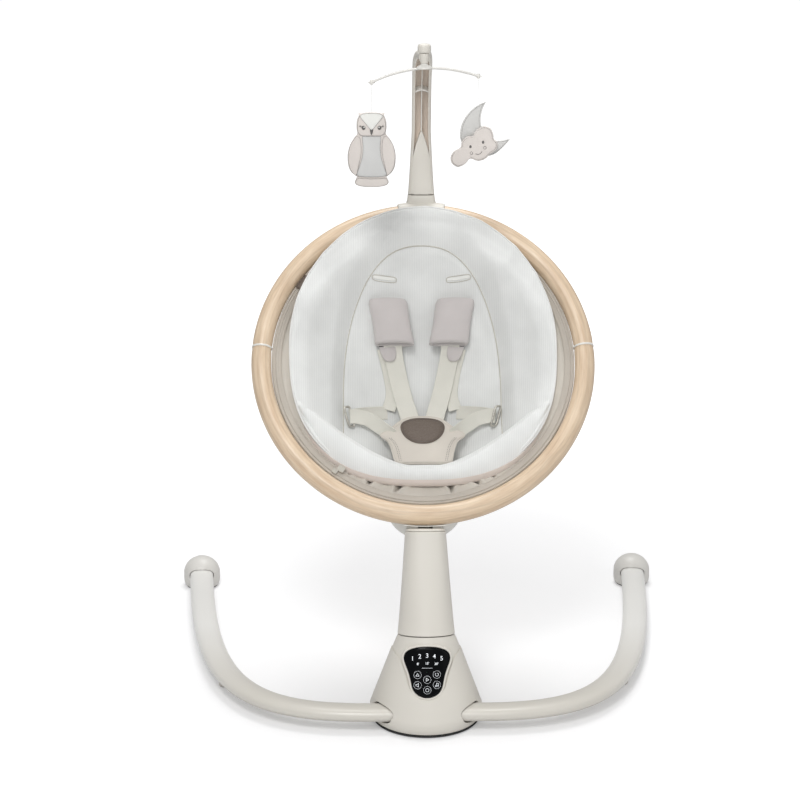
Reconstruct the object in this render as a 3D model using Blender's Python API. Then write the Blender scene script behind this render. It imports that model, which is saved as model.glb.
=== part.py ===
"""Baby swing: a tubular floor base with a motor hub, a swinging post, a reclining round seat on a
wood-look hoop, a harness, and a lift-off toy bar with a turning mobile.

Metres, +Z up, +X to the right, -Y towards the front (the control panel). The origin is on the floor
under the middle of the whole object's box. Shapes are written from the hub's centre line, and HUB_Y
moves them all.
"""

import math

import bmesh
import bpy
from mathutils import Matrix, Vector

# ---------------------------------------------------------------- driving dimensions
GAP = 0.0005  # between pieces that touch
WALL = 0.003  # moulded shells

# Floor base
LEG_WIDTH = 0.038
LEG_HEIGHT = 0.021
LEG_Z = 0.024  # centre line above the floor
LEG_ROOT_X = 0.022
LEG_ROUTE = ((0.080, -0.0405), (0.270, -0.0405), (0.323, 0.0733), (0.3605, 0.526))
END_FOOT_RADIUS = 0.030
END_FOOT_HEIGHT = 0.050
MID_FOOT_SHARE = 0.62  # along the leg's curve

# Hub
HUB_RADIUS = 0.080
HUB_WIDEST_Z = 0.022
HUB_FOOT_Z = 0.0045
SEAM_RADIUS = 0.0405
SEAM_Z = 0.126
SWING_LEAN = math.radians(14)  # the swing axis leans back
PANEL_LEAN = math.radians(17.5)
PANEL_HALF_WIDTH = 0.0315
PANEL_HALF_HEIGHT = 0.0350
PANEL_CURVE = 0.085  # radius of the panel's glass across

# Post and recline pivot
PIVOT = Vector((0, 0.097, 0.279))
DOME_RADIUS = 0.045
DOME_HALF_LENGTH = 0.054
TONGUE_HALF = 0.010
PIN_RADIUS = 0.005

# Seat hoop
HOOP_CENTRE = Vector((0, 0.200, 0.4715))
HOOP_TILT = math.radians(54)
HOOP_RADIUS = 0.236
TUBE_RADIUS = 0.0145
HOOP_JOINT = math.radians(5)  # the side joints sit this far above the hoop's middle

# Soft goods, in the hoop's own frame
SLING_RADIUS = 0.207
SLING_DEPTH = 0.150
SLING_DEEPEST = -0.090
LINER_HALF_WIDTH = 0.1945
LINER_THICKNESS = 0.013

# Toy bar and mobile
SOCKET_TOP_Z = 0.691
BAR_ROUTE = ((0.343, 0.6925), (0.352, 0.790), (0.346, 0.926), (0.1900, 0.9100))
SPINDLE = Vector((0, 0.190, 0))
MOBILE_REACH = 0.074
MOBILE_LEAN = math.radians(3.2)  # the owl is the heavier toy
ROD_Z = 0.8955

# The box's middle: the hub's front edge and the end feet's backs
END_FOOT_Y = LEG_ROUTE[-1][1] + 0.006
HUB_Y = -(END_FOOT_Y + END_FOOT_RADIUS - HUB_RADIUS) / 2

BODY_ORIGINS = {
    "base": Vector((0, 0, 0)),
    "swing_arm": Vector((0, 0, SEAM_Z)),
    "seat": PIVOT,
    "recline_lever": PIVOT + Vector((0, 0.0265, -0.020)),
    "toy_bar": Vector((0, 0.343, SOCKET_TOP_Z)),
    "mobile": SPINDLE + Vector((0, 0, ROD_Z)),
    "owl_toy": Vector((0, 0, 0)),
    "moon_toy": Vector((0, 0, 0)),
}

COLOURS = {
    "cream_plastic": ((0.72, 0.70, 0.65), 0.45, 0.0),
    "cream_metal": ((0.78, 0.77, 0.74), 0.40, 0.0),
    "black_gloss": ((0.01, 0.01, 0.012), 0.08, 0.0),
    "rubber": ((0.03, 0.03, 0.03), 0.80, 0.0),
    "steel": ((0.60, 0.60, 0.60), 0.35, 1.0),
    "bearing_plastic": ((0.85, 0.85, 0.82), 0.50, 0.0),
    "copper_coil": ((0.72, 0.38, 0.20), 0.40, 1.0),
    "circuit_board": ((0.05, 0.25, 0.12), 0.55, 0.0),
    "wood_look": ((0.76, 0.60, 0.42), 0.45, 0.0),
    "sling_fabric": ((0.55, 0.51, 0.47), 0.90, 0.0),
    "zip_tape": ((0.36, 0.33, 0.31), 0.90, 0.0),
    "liner_fabric": ((0.82, 0.82, 0.80), 0.90, 0.0),
    "pad_fabric": ((0.62, 0.58, 0.57), 0.90, 0.0),
    "webbing": ((0.66, 0.65, 0.59), 0.85, 0.0),
    "buckle_cover": ((0.70, 0.66, 0.60), 0.90, 0.0),
    "badge_leather": ((0.30, 0.20, 0.13), 0.70, 0.0),
    "toy_grey": ((0.66, 0.66, 0.67), 0.90, 0.0),
    "toy_blush": ((0.80, 0.74, 0.70), 0.90, 0.0),
    "thread": ((0.88, 0.88, 0.86), 0.80, 0.0),
}


# ---------------------------------------------------------------- small tools
def material(slot):
    """One Principled material for each slot."""
    found = bpy.data.materials.get(slot)
    if found:
        return found
    colour, roughness, metallic = COLOURS[slot]
    made = bpy.data.materials.new(slot)
    made.use_nodes = True
    shader = made.node_tree.nodes["Principled BSDF"]
    shader.inputs["Base Color"].default_value = (*colour, 1)
    shader.inputs["Roughness"].default_value = roughness
    shader.inputs["Metallic"].default_value = metallic
    return made


def body_empty(body):
    """The empty on a body's joint axis, which its pieces hang from."""
    name = "axis_" + body
    found = bpy.data.objects.get(name)
    if found is None:
        found = bpy.data.objects.new(name, None)
        bpy.context.scene.collection.objects.link(found)
        found.location = BODY_ORIGINS[body] + Vector((0, HUB_Y, 0))
        bpy.context.view_layer.update()
    return found


def piece(name, body, slot, bm, smooth=True):
    """Makes the object of one piece from a bmesh in hub coordinates."""
    bmesh.ops.recalc_face_normals(bm, faces=bm.faces)
    bmesh.ops.translate(bm, verts=bm.verts, vec=-BODY_ORIGINS[body])
    mesh = bpy.data.meshes.new(name)
    bm.to_mesh(mesh)
    bm.free()
    if smooth:
        mesh.shade_smooth()
        mesh.set_sharp_from_angle(angle=math.radians(35))
    mesh.materials.append(material(slot))
    made = bpy.data.objects.new(name, mesh)
    bpy.context.scene.collection.objects.link(made)
    made.parent = body_empty(body)
    return made


def cutter(name, body, bm):
    """A hidden solid that Booleans take away."""
    made = piece(name, body, "rubber", bm, smooth=False)
    made.hide_render = True
    made.display_type = "WIRE"
    return made


def boolean(target, other, operation="DIFFERENCE"):
    change = target.modifiers.new(other.name, "BOOLEAN")
    change.operation = operation
    change.object = other
    change.solver = "EXACT"


def loft(rings, closed=False):
    """A closed solid through rings of points; without closed, its two ends are capped."""
    bm = bmesh.new()
    rows = [[bm.verts.new(p) for p in ring] for ring in rings]
    count = len(rows[0])
    pairs = list(zip(rows, rows[1:]))
    if closed:
        pairs.append((rows[-1], rows[0]))
    for a, b in pairs:
        for i in range(count):
            j = (i + 1) % count
            bm.faces.new((a[i], a[j], b[j], b[i]))
    if not closed:
        bm.faces.new(reversed(rows[0]))
        bm.faces.new(rows[-1])
    return bm


def turned(profile, at, axis=(0, 0, 1), sides=24):
    """A solid of revolution: profile is (radius, height along axis) from one end to the other."""
    turn = Vector((0, 0, 1)).rotation_difference(Vector(axis)).to_matrix()
    rings = []
    for radius, height in profile:
        rings.append([
            Vector(at) + turn @ Vector((radius * math.cos(a), radius * math.sin(a), height))
            for a in (2 * math.pi * i / sides for i in range(sides))
        ])
    return loft(rings)


def ring_solid(profile, at, axis=(0, 0, 1), sides=24):
    """A turned ring: profile is a closed outline of (radius, height) that keeps off the axis."""
    turn = Vector((0, 0, 1)).rotation_difference(Vector(axis)).to_matrix()
    rings = []
    for i in range(sides):
        a = 2 * math.pi * i / sides
        spoke = Vector((math.cos(a), math.sin(a), 0))
        rings.append([Vector(at) + turn @ (spoke * r + Vector((0, 0, h))) for r, h in profile])
    return loft(rings, closed=True)


def oval(half_x, half_y, sides=16, power=2.0):
    """Points of a superellipse; power 2 is an ellipse and more is squarer."""
    points = []
    for i in range(sides):
        a = 2 * math.pi * i / sides
        c, s = math.cos(a), math.sin(a)
        points.append((
            half_x * math.copysign(abs(c) ** (2 / power), c),
            half_y * math.copysign(abs(s) ** (2 / power), s),
        ))
    return points


def sweep(centres, section, up):
    """Sweeps a section of (sideways, up) points along centres. section may depend on the share t."""
    rings = []
    last = len(centres) - 1
    for i, centre in enumerate(centres):
        along = (centres[min(i + 1, last)] - centres[max(i - 1, 0)]).normalized()
        lift = up(i / last) if callable(up) else Vector(up)
        side = along.cross(lift).normalized()
        lift = side.cross(along)
        outline = section(i / last) if callable(section) else section
        rings.append([centre + side * a + lift * b for a, b in outline])
    return loft(rings)


def bezier(points, share):
    """A point of a cubic Bezier curve."""
    a, b, c, d = (Vector(p) for p in points)
    k = 1 - share
    return a * k**3 + b * (3 * k * k * share) + c * (3 * k * share**2) + d * share**3


def smooth_line(points, steps):
    """A Catmull-Rom curve through points, steps to a span."""
    ends = [points[0] * 2 - points[1], *points, points[-1] * 2 - points[-2]]
    line = []
    for a, b, c, d in zip(ends, ends[1:], ends[2:], ends[3:]):
        for i in range(steps):
            t = i / steps
            line.append(0.5 * (
                b * 2 + (c - a) * t + (a * 2 - b * 5 + c * 4 - d) * t**2
                + (b * 3 - a - c * 3 + d) * t**3
            ))
    line.append(points[-1].copy())
    return line


def block(low, high):
    """An upright box between two corners."""
    bm = bmesh.new()
    bmesh.ops.create_cube(bm, size=1)
    size = Vector(high) - Vector(low)
    bmesh.ops.scale(bm, verts=bm.verts, vec=size)
    bmesh.ops.translate(bm, verts=bm.verts, vec=(Vector(low) + Vector(high)) / 2)
    return bm


def plate(outline, place, low, high):
    """Extrudes an outline of (u, v) points from low to high; place(u, v, w) gives the point."""
    rings = [[place(u, v, w) for u, v in outline] for w in (low, high)]
    return loft(rings)


# ---------------------------------------------------------------- frames of reference
SWING_AXIS = Vector((0, math.sin(SWING_LEAN), math.cos(SWING_LEAN)))
SEAM = Vector((0, 0, SEAM_Z))
HOOP_UP = Vector((0, math.cos(HOOP_TILT), math.sin(HOOP_TILT)))
HOOP_OUT = Vector((0, -math.sin(HOOP_TILT), math.cos(HOOP_TILT)))


def in_hoop(x, s, h):
    """A point of the hoop's frame: x sideways, s up the hoop's plane, h out of it to the front."""
    return HOOP_CENTRE + Vector((x, 0, 0)) + HOOP_UP * s + HOOP_OUT * h


def on_hoop(angle, radius=HOOP_RADIUS, h=0.0):
    return in_hoop(radius * math.cos(angle), radius * math.sin(angle), h)


# ---------------------------------------------------------------- floor base
def leg_point(side, share):
    """A point of one leg's centre line: a straight root out of the hub, then a curve round."""
    if share < 0.12:
        x, y = LEG_ROOT_X + (LEG_ROUTE[0][0] - LEG_ROOT_X) * share / 0.12, LEG_ROUTE[0][1]
    else:
        x, y, _ = bezier([(*p, 0) for p in LEG_ROUTE], (share - 0.12) / 0.88)
    return Vector((side * x, y, LEG_Z))


def leg_line(side, start=0.0, end=1.0, steps=25):
    return [leg_point(side, start + (end - start) * i / steps) for i in range(steps + 1)]


def make_base():
    for side, word in ((-1, "left"), (1, "right")):
        line = leg_line(side)
        tube = sweep(line, oval(LEG_WIDTH / 2, LEG_HEIGHT / 2, 12, 2.4), (0, 0, 1))
        piece("leg_" + word, "base", "cream_metal", tube)

        end = Vector((side * LEG_ROUTE[-1][0], END_FOOT_Y, 0))
        r, top = END_FOOT_RADIUS, END_FOOT_HEIGHT
        dome = [(r * 0.80, 0), (r * 0.95, 0.004), (r, 0.014), (r * 0.97, 0.024)]
        dome += [(r * math.cos(a), 0.024 + (top - 0.024) * math.sin(a))
                 for a in (math.radians(d) for d in (30, 50, 70, 86))]
        foot = piece("end_foot_" + word, "base", "cream_plastic", turned(dome, end, sides=22))
        pocket_line = leg_line(side, 0.80, 1.0, 8)
        pocket_line.append(pocket_line[-1] + (pocket_line[-1] - pocket_line[-2]) * 0.05)
        pocket = sweep(pocket_line, oval(LEG_WIDTH / 2 + GAP, LEG_HEIGHT / 2 + GAP, 12, 2.4), (0, 0, 1))
        boolean(foot, cutter("pocket_" + word, "base", pocket))

        middle = leg_line(side, MID_FOOT_SHARE, MID_FOOT_SHARE + 0.01, 1)[0]
        top = LEG_Z - LEG_HEIGHT / 2 - GAP
        pad = [(0.0085, 0), (0.0095, 0.002), (0.0095, top)]
        pad_at = Vector((middle.x, middle.y, 0))
        piece("mid_foot_" + word, "base", "rubber", turned(pad, pad_at, sides=16))

    rubber = [(0.0745, 0), (0.0765, 0.0015), (0.0765, HUB_FOOT_Z - GAP)]
    piece("hub_rubber_pad", "base", "rubber", turned(rubber, (0, 0, 0), sides=40))
    pan = [(0.0740, HUB_FOOT_Z), (0.0740, HUB_FOOT_Z + 0.004)]
    piece("hub_base_pan", "base", "cream_plastic", turned(pan, (0, 0, 0), sides=40))


def hub_ring(radius, drop, sides=40):
    """A ring of the hub. drop 0 is level near the floor and 1 is the leaning top rim."""
    points = []
    for i in range(sides):
        a = 2 * math.pi * i / sides
        points.append((radius * math.cos(a), radius * math.sin(a)))
    level = [Vector((x, y, HUB_WIDEST_Z)) for x, y in points]
    turn = Vector((0, 0, 1)).rotation_difference(SWING_AXIS).to_matrix()
    rim = [SEAM + turn @ Vector((x, y, 0)) for x, y in points]
    return [a.lerp(b, drop) for a, b in zip(level, rim)]


def hub_radius(drop):
    return HUB_RADIUS - 0.0005 + (SEAM_RADIUS - HUB_RADIUS + 0.0005) * drop


def hub_place(u, v, w):
    """A point by the control panel: u across, v up its slope, w out of its curved glass."""
    up = Vector((0, math.sin(PANEL_LEAN), math.cos(PANEL_LEAN)))
    out = Vector((0, -math.cos(PANEL_LEAN), math.sin(PANEL_LEAN)))
    middle = Vector((0, -0.0560, 0.0905))
    fall = PANEL_CURVE - math.sqrt(PANEL_CURVE**2 - u * u)
    return middle + Vector((u, 0, 0)) + up * v + out * (w - fall)


def panel_outline(grow=0.0, steps=36):
    """The panel's keyhole outline: a wide round top that narrows to a round bottom."""
    points = []
    for i in range(steps):
        a = 2 * math.pi * i / steps
        v = math.sin(a)
        waist = 0.5 + 0.5 * math.tanh(2.6 * (v + 0.05))
        half = 0.0205 + (PANEL_HALF_WIDTH - 0.0205) * waist
        c = math.cos(a)
        x = half * math.copysign(abs(c) ** 0.72, c)
        points.append((x * (1 + grow / half), v * (PANEL_HALF_HEIGHT + grow)))
    return points


def curved_plate(outline, place, low, high):
    """A plate on curved glass: as plate(), with an inner loop so that its faces follow the curve."""
    bm = bmesh.new()
    sheets = []
    for w in (low, high):
        rings = []
        for share in (1.0, 0.66, 0.33):
            rings.append([bm.verts.new(place(u * share, v * share, w)) for u, v in outline])
        centre = bm.verts.new(place(0, 0, w))
        count = len(outline)
        for a, b in zip(rings, rings[1:]):
            for i in range(count):
                j = (i + 1) % count
                bm.faces.new((a[i], a[j], b[j], b[i]))
        for i in range(count):
            bm.faces.new((rings[-1][i], rings[-1][(i + 1) % count], centre))
        sheets.append(rings[0])
    a, b = sheets
    for i in range(len(a)):
        j = (i + 1) % len(a)
        bm.faces.new((a[i], b[i], b[j], a[j]))
    return bm


def make_hub():
    # The outer cone, open at the bottom and the top.
    outer = [[Vector((p.x * 0.965, p.y * 0.965, HUB_FOOT_Z)) for p in hub_ring(HUB_RADIUS, 0)]]
    inner = [[Vector((p.x * 0.965, p.y * 0.965, HUB_FOOT_Z)) for p in hub_ring(HUB_RADIUS - WALL, 0)]]
    for drop in (0.0, 0.25, 0.5, 0.72, 0.87):
        outer.append(hub_ring(hub_radius(drop) + 0.0015 * drop, drop))
        inner.append(hub_ring(hub_radius(drop) - WALL + 0.0005, drop))
    shell = piece("hub_shell", "base", "cream_plastic", loft(outer + inner[::-1], closed=True))
    for side, word in ((-1, "left"), (1, "right")):
        line = [Vector((side * 0.010, LEG_ROUTE[0][1], LEG_Z)), *leg_line(side, 0.0, 0.35, 8)]
        slot = sweep(line, oval(LEG_WIDTH / 2 + 0.0010, LEG_HEIGHT / 2 + 0.0010, 12, 2.4), (0, 0, 1))
        boolean(shell, cutter("leg_slot_" + word, "base", slot))
    hole = plate(panel_outline(0.0042), hub_place, -0.030, 0.030)
    boolean(shell, cutter("panel_hole", "base", hole))
    jack_hole = turned([(0.0062, 0), (0.0062, 0.03)], (0, 0.058, 0.034), (0, 1, 0), sides=16)
    boolean(shell, cutter("jack_hole", "base", jack_hole))

    # The collar that meets the post, with a small gap below the post's seam.
    top, low = 0.995, 0.88
    collar = [
        hub_ring(hub_radius(low) - 0.0002, low), hub_ring(SEAM_RADIUS - 0.0002, top),
        hub_ring(SEAM_RADIUS - WALL, top), hub_ring(hub_radius(low) - WALL, low),
    ]
    collar = piece("hub_collar", "base", "cream_plastic", loft(collar, closed=True))
    boolean(collar, bpy.data.objects["panel_hole"])

    bezel = piece("panel_bezel", "base", "cream_plastic",
                  curved_plate(panel_outline(0.0036), hub_place, -0.0130, 0.0008))
    recess = curved_plate(panel_outline(0.0007), hub_place, -0.0023, 0.010)
    boolean(bezel, cutter("panel_recess", "base", recess))
    well = plate([(u * 0.80, v * 0.80) for u, v in panel_outline()], hub_place, -0.030, 0.012)
    boolean(bezel, cutter("panel_well", "base", well))
    piece("control_panel", "base", "black_gloss",
          curved_plate(panel_outline(), hub_place, -0.0018, 0.0))
    board = [(u * 0.62, v * 0.70) for u, v in panel_outline()]
    piece("control_board", "base", "circuit_board", plate(board, hub_place, -0.0100, -0.0084))


def axis_point(distance):
    return SEAM + SWING_AXIS * distance


def make_hub_inside():
    """The swing shaft's bearings, the drive coil, the speaker and the power inlet."""
    block_at = axis_point(-0.088)
    lower = ring_solid([(0.0108, -0.007), (0.017, -0.007), (0.017, 0.007), (0.0108, 0.007)],
                       block_at, SWING_AXIS)
    piece("lower_bearing_block", "base", "cream_plastic", lower)
    upper = ring_solid([(0.0108, -0.004), (0.032, -0.004), (0.032, 0.002), (0.0108, 0.002)],
                       axis_point(-0.020), SWING_AXIS, sides=32)
    upper = piece("upper_bearing_plate", "base", "cream_plastic", upper)
    boolean(upper, bpy.data.objects["panel_hole"])
    for word, distance in (("lower", -0.088), ("upper", -0.021)):
        bush = [(0.0074, -0.005), (0.0104, -0.005), (0.0104, 0.005), (0.0074, 0.005)]
        piece(word + "_bush", "base", "bearing_plastic",
              ring_solid(bush, axis_point(distance), SWING_AXIS, sides=20))
    coil = ring_solid([(0.007, 0), (0.013, 0), (0.013, 0.010), (0.007, 0.010)],
                      (0, 0.033, 0.0120), sides=20)
    piece("drive_coil", "base", "copper_coil", coil)
    speaker = turned([(0.0170, 0), (0.0170, 0.004), (0.0120, 0.012), (0.0120, 0.016)],
                     (0.042, 0.020, 0.0100), sides=20)
    piece("speaker", "base", "rubber", speaker)
    jack = ring_solid([(0.0025, 0), (0.0056, 0), (0.0056, 0.014), (0.0025, 0.014)],
                      (0, 0.064, 0.034), (0, 1, 0), sides=16)
    piece("power_inlet", "base", "rubber", jack)


# ---------------------------------------------------------------- swinging arm
def post_ring(t, inset=0.0, sides=28):
    """A ring of the post at share t from the seam to the top, its section going from round to
    squarer, its front rising higher than its back."""
    bend = t * t * (3 - 2 * t)
    low = axis_point(0.0007)
    top = Vector((0, 0.0665, 0.2550))
    centre = low.lerp(top, t) + Vector((0, -0.004 * math.sin(math.pi * t), 0))
    half_x = SEAM_RADIUS + (0.0290 - SEAM_RADIUS) * t**0.9 - inset
    half_y = SEAM_RADIUS + (0.0570 - SEAM_RADIUS) * t**1.4 - inset
    lean = SWING_LEAN + (math.radians(18) - SWING_LEAN) * bend
    turn = Matrix.Rotation(-lean, 3, "X")
    return [centre + turn @ Vector((x, y, 0)) for x, y in oval(half_x, half_y, sides, 2 + 1.6 * bend)]


def dome_profile(grow=0.0, steps=12):
    """The pivot dome, a flattened ball turned about the recline axis."""
    points = []
    for i in range(steps + 1):
        a = math.pi * (0.03 + 0.94 * i / steps)
        points.append(((DOME_RADIUS + grow) * math.sin(a), -(DOME_HALF_LENGTH + grow) * math.cos(a)))
    return points


def make_swing_arm():
    rows = [0, 0.15, 0.35, 0.6, 0.85, 1.0]
    outer = [post_ring(t) for t in rows]
    inner = [post_ring(t, WALL) for t in rows]
    closed_shell = loft(outer + inner[::-1], closed=True)
    post = piece("post_cover_front", "swing_arm", "cream_plastic", closed_shell)
    twin = piece("post_cover_rear", "swing_arm", "cream_plastic",
                 loft(outer + inner[::-1], closed=True))
    dome_space = cutter("dome_space", "swing_arm",
                        turned(dome_profile(0.0012), PIVOT, (1, 0, 0), sides=32))
    split = ((0.0, SEAM_Z - 0.03), (0.0665, 0.2550), (0.0815, 0.3200))
    for target, sign in ((post, 1), (twin, -1)):
        outline = [(y - sign * 0.0002, z) for y, z in split]
        outline += [(y + sign * 0.2, z) for y, z in split[::-1]]
        half = plate(outline, lambda u, v, w: Vector((w, u, v)), -0.08, 0.08)
        boolean(target, cutter("half_" + target.name, "swing_arm", half))
        boolean(target, dome_space)

    shaft = [(0.0070, -0.096), (0.0070, 0.0005), (0.0100, 0.001), (0.0100, 0.0364)]
    piece("swing_shaft", "swing_arm", "steel", turned(shaft, SEAM, SWING_AXIS, sides=20))

    # The magnet arm reaches back from the shaft over the coil.
    root = axis_point(-0.060)
    boss = ring_solid([(0.0073, -0.005), (0.013, -0.005), (0.013, 0.005), (0.0073, 0.005)],
                      root, SWING_AXIS, sides=20)
    boss = piece("magnet_arm", "swing_arm", "cream_plastic", boss)
    arm = block((-0.006, root.y + 0.0090, root.z - 0.004), (0.006, 0.042, root.z + 0.003))
    boolean(boss, cutter("arm_beam", "swing_arm", arm), "UNION")
    magnet = turned([(0.008, 0), (0.008, 0.008)], (0, 0.033, root.z - 0.0125), sides=20)
    piece("drive_magnet", "swing_arm", "steel", magnet)

    # The steel tongue that carries the recline pin.
    foot = axis_point(0.0415)
    along = (PIVOT - foot)
    across = Vector((0, -along.z, along.y)).normalized()
    radius = 0.013
    outline = [foot + across * radius, foot - across * radius]
    start = math.atan2(-across.z, -across.y)
    arc = [PIVOT + Vector((0, math.cos(start + math.pi * i / 8), math.sin(start + math.pi * i / 8))) * radius
           for i in range(9)]
    outline += arc
    rings = [[Vector((x, p.y, p.z)) for p in outline] for x in (-TONGUE_HALF, TONGUE_HALF)]
    tongue = piece("pivot_tongue", "swing_arm", "steel", loft(rings))
    bore = turned([(PIN_RADIUS + 0.0004, -0.02), (PIN_RADIUS + 0.0004, 0.02)], PIVOT, (1, 0, 0), sides=20)
    boolean(tongue, cutter("pin_bore", "swing_arm", bore))


# ---------------------------------------------------------------- seat hoop and pivot
def hoop_tube(start, end, steps, radius, sides=14):
    """A stretch of tube round the hoop's circle, its ends cut square."""
    rings = []
    for i in range(steps + 1):
        angle = start + (end - start) * i / steps
        rings.append([on_hoop(angle, HOOP_RADIUS + u, v) for u, v in oval(radius, radius, sides)])
    return loft(rings)


def make_hoop():
    slack = GAP / HOOP_RADIUS
    collar = 0.0022 / HOOP_RADIUS
    right, left = HOOP_JOINT, math.pi - HOOP_JOINT
    upper = hoop_tube(right + collar / 2 + slack, left - collar / 2 - slack, 34, TUBE_RADIUS)
    piece("hoop_upper", "seat", "wood_look", upper)
    lower = hoop_tube(left + collar / 2 + slack, 2 * math.pi + right - collar / 2 - slack, 38, TUBE_RADIUS)
    piece("hoop_lower", "seat", "wood_look", lower)
    for angle, word in ((right, "right"), (left, "left")):
        joint = hoop_tube(angle - collar / 2, angle + collar / 2, 1, TUBE_RADIUS + 0.0003, 16)
        piece("hoop_joint_" + word, "seat", "cream_plastic", joint)

    # The pivot dome holds the hoop's lowest stretch in a groove and turns on the post's tongue.
    dome = piece("pivot_dome", "seat", "cream_plastic",
                 turned(dome_profile(), PIVOT, (1, 0, 0), sides=32))
    groove = hoop_tube(math.radians(240), math.radians(300), 16, TUBE_RADIUS + GAP, 14)
    boolean(dome, cutter("hoop_groove", "seat", groove))
    boolean(dome, cutter("sling_space", "seat", bowl_space()))
    front = turned([(0.30, 0.0), (0.30, 0.09)], HOOP_CENTRE, HOOP_OUT, sides=40)
    boolean(dome, cutter("dome_front", "seat", front))
    width = TONGUE_HALF + 0.001
    down = (axis_point(0.0415) - PIVOT).normalized()
    across = Vector((0, -down.z, down.y))
    corners = [across * 0.026 - down * 0.018, across * 0.026 + down * 0.06,
               across * -0.026 + down * 0.06, across * -0.026 - down * 0.018]
    slot = loft([[PIVOT + c + Vector((x, 0, 0)) for c in corners] for x in (-width, width)])
    boolean(dome, cutter("tongue_slot", "seat", slot))
    hole = turned([(PIN_RADIUS + 0.0003, -0.0405), (PIN_RADIUS + 0.0003, 0.0405)], PIVOT, (1, 0, 0), sides=20)
    boolean(dome, cutter("pin_hole", "seat", hole))
    pin = turned([(PIN_RADIUS, -0.040), (PIN_RADIUS, 0.040)], PIVOT, (1, 0, 0), sides=20)
    piece("recline_pin", "seat", "steel", pin)

    # The recline lever hangs behind the dome on its own short axis.
    at = BODY_ORIGINS["recline_lever"]
    outline = [(0.0190, 0.006), (0.0275, -0.004), (0.0330, -0.022), (0.0290, -0.026),
               (0.0235, -0.012), (0.0165, -0.002)]
    lever = loft([[at + Vector((x, u, v)) for u, v in outline] for x in (-0.017, 0.017)])
    piece("recline_lever", "recline_lever", "cream_plastic", lever)


# ---------------------------------------------------------------- soft goods
def edge_distance(direction, centre_s, inside):
    """How far from (0, centre_s) the outline is in a direction, by bisection on inside(x, s)."""
    low, high = 0.0, 0.4
    for _ in range(40):
        middle = (low + high) / 2
        if inside(direction[0] * middle, centre_s + direction[1] * middle):
            low = middle
        else:
            high = middle
    return low


def in_circle(radius):
    return lambda x, s: x * x + s * s < radius * radius


def in_liner(x, s):
    """The liner's outline: a round top and a fuller, squarer bottom."""
    rise, power = (0.208, 2.0) if s > 0.025 else (0.205, 2.6)
    return abs(x / LINER_HALF_WIDTH) ** power + abs((s - 0.025) / rise) ** power < 1


def polar_sheet(inside, centre_s, height, rings, sides):
    """Rings of hoop-frame points (x, s, h) over an outline, from the edge to the middle."""
    rows = []
    for k in range(rings):
        share = 1 - k / rings
        row = []
        for i in range(sides):
            a = 2 * math.pi * i / sides
            direction = (math.cos(a), math.sin(a))
            reach = edge_distance(direction, centre_s, inside) * share
            x, s = direction[0] * reach, centre_s + direction[1] * reach
            row.append((x, s, height(share, a)))
        rows.append(row)
    return rows, (0.0, centre_s, height(0.0, 0.0))


def shell_between(upper, lower):
    """A closed shell from two polar sheets, the same size, upper over lower."""
    bm = bmesh.new()
    edges = []
    for rows, tip in (upper, lower):
        verts = [[bm.verts.new(in_hoop(*p)) for p in row] for row in rows]
        centre = bm.verts.new(in_hoop(*tip))
        count = len(verts[0])
        for a, b in zip(verts, verts[1:]):
            for i in range(count):
                j = (i + 1) % count
                bm.faces.new((a[i], a[j], b[j]))
                bm.faces.new((a[i], b[j], b[i]))
        for i in range(count):
            bm.faces.new((verts[-1][i], verts[-1][(i + 1) % count], centre))
        edges.append(verts[0])
    a, b = edges
    for i in range(len(a)):
        j = (i + 1) % len(a)
        bm.faces.new((a[i], b[i], b[j], a[j]))
    return bm


def sling_height(drop=0.0):
    return lambda share, a: -0.004 - drop - SLING_DEPTH * (1 - share**2.2)


def liner_height(share, a):
    """The liner's height over the hoop's plane: its edge is high at the top and low at the foot."""
    up = math.sin(a)
    edge = 0.034 * max(up, 0) ** 2 - 0.002 * (1 - up * up) - 0.030 * max(-up, 0) ** 1.5
    return edge - (0.118 + edge) * (1 - share**2.1)


def share_of(x, s, centre_s, inside):
    """How far out of an outline a point is, 1 at its edge, and its angle about the centre."""
    reach = math.hypot(x, s - centre_s) or 1e-6
    direction = (x / reach, (s - centre_s) / reach)
    return min(1.0, reach / edge_distance(direction, centre_s, inside)), math.atan2(*direction[::-1])


def liner_top(x, s):
    return liner_height(*share_of(x, s, -0.085, in_liner))


def support_height(x, s):
    """The highest point under the liner: the sling, the zip band, the hoop or the toy bar's socket."""
    radius = math.hypot(x, s)
    if radius < 0.1880:
        return sling_height()(*share_of(x, s, SLING_DEEPEST, in_circle(SLING_RADIUS)))
    reach = TUBE_RADIUS + (0.0075 if abs(x) < 0.050 and s > 0 else 0.0012)
    fall = abs(radius - HOOP_RADIUS)
    return math.sqrt(reach**2 - fall**2) if fall < reach else 0.0030


def bowl_space():
    """The sling's bowl as a solid, with some room, for cutting other pieces."""
    inside = in_circle(HOOP_RADIUS - TUBE_RADIUS + 0.001)
    lower = polar_sheet(inside, SLING_DEEPEST, sling_height(0.0055), 7, 36)
    upper = polar_sheet(inside, SLING_DEEPEST, lambda share, a: 0.06, 7, 36)
    return shell_between(upper, lower)


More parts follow.
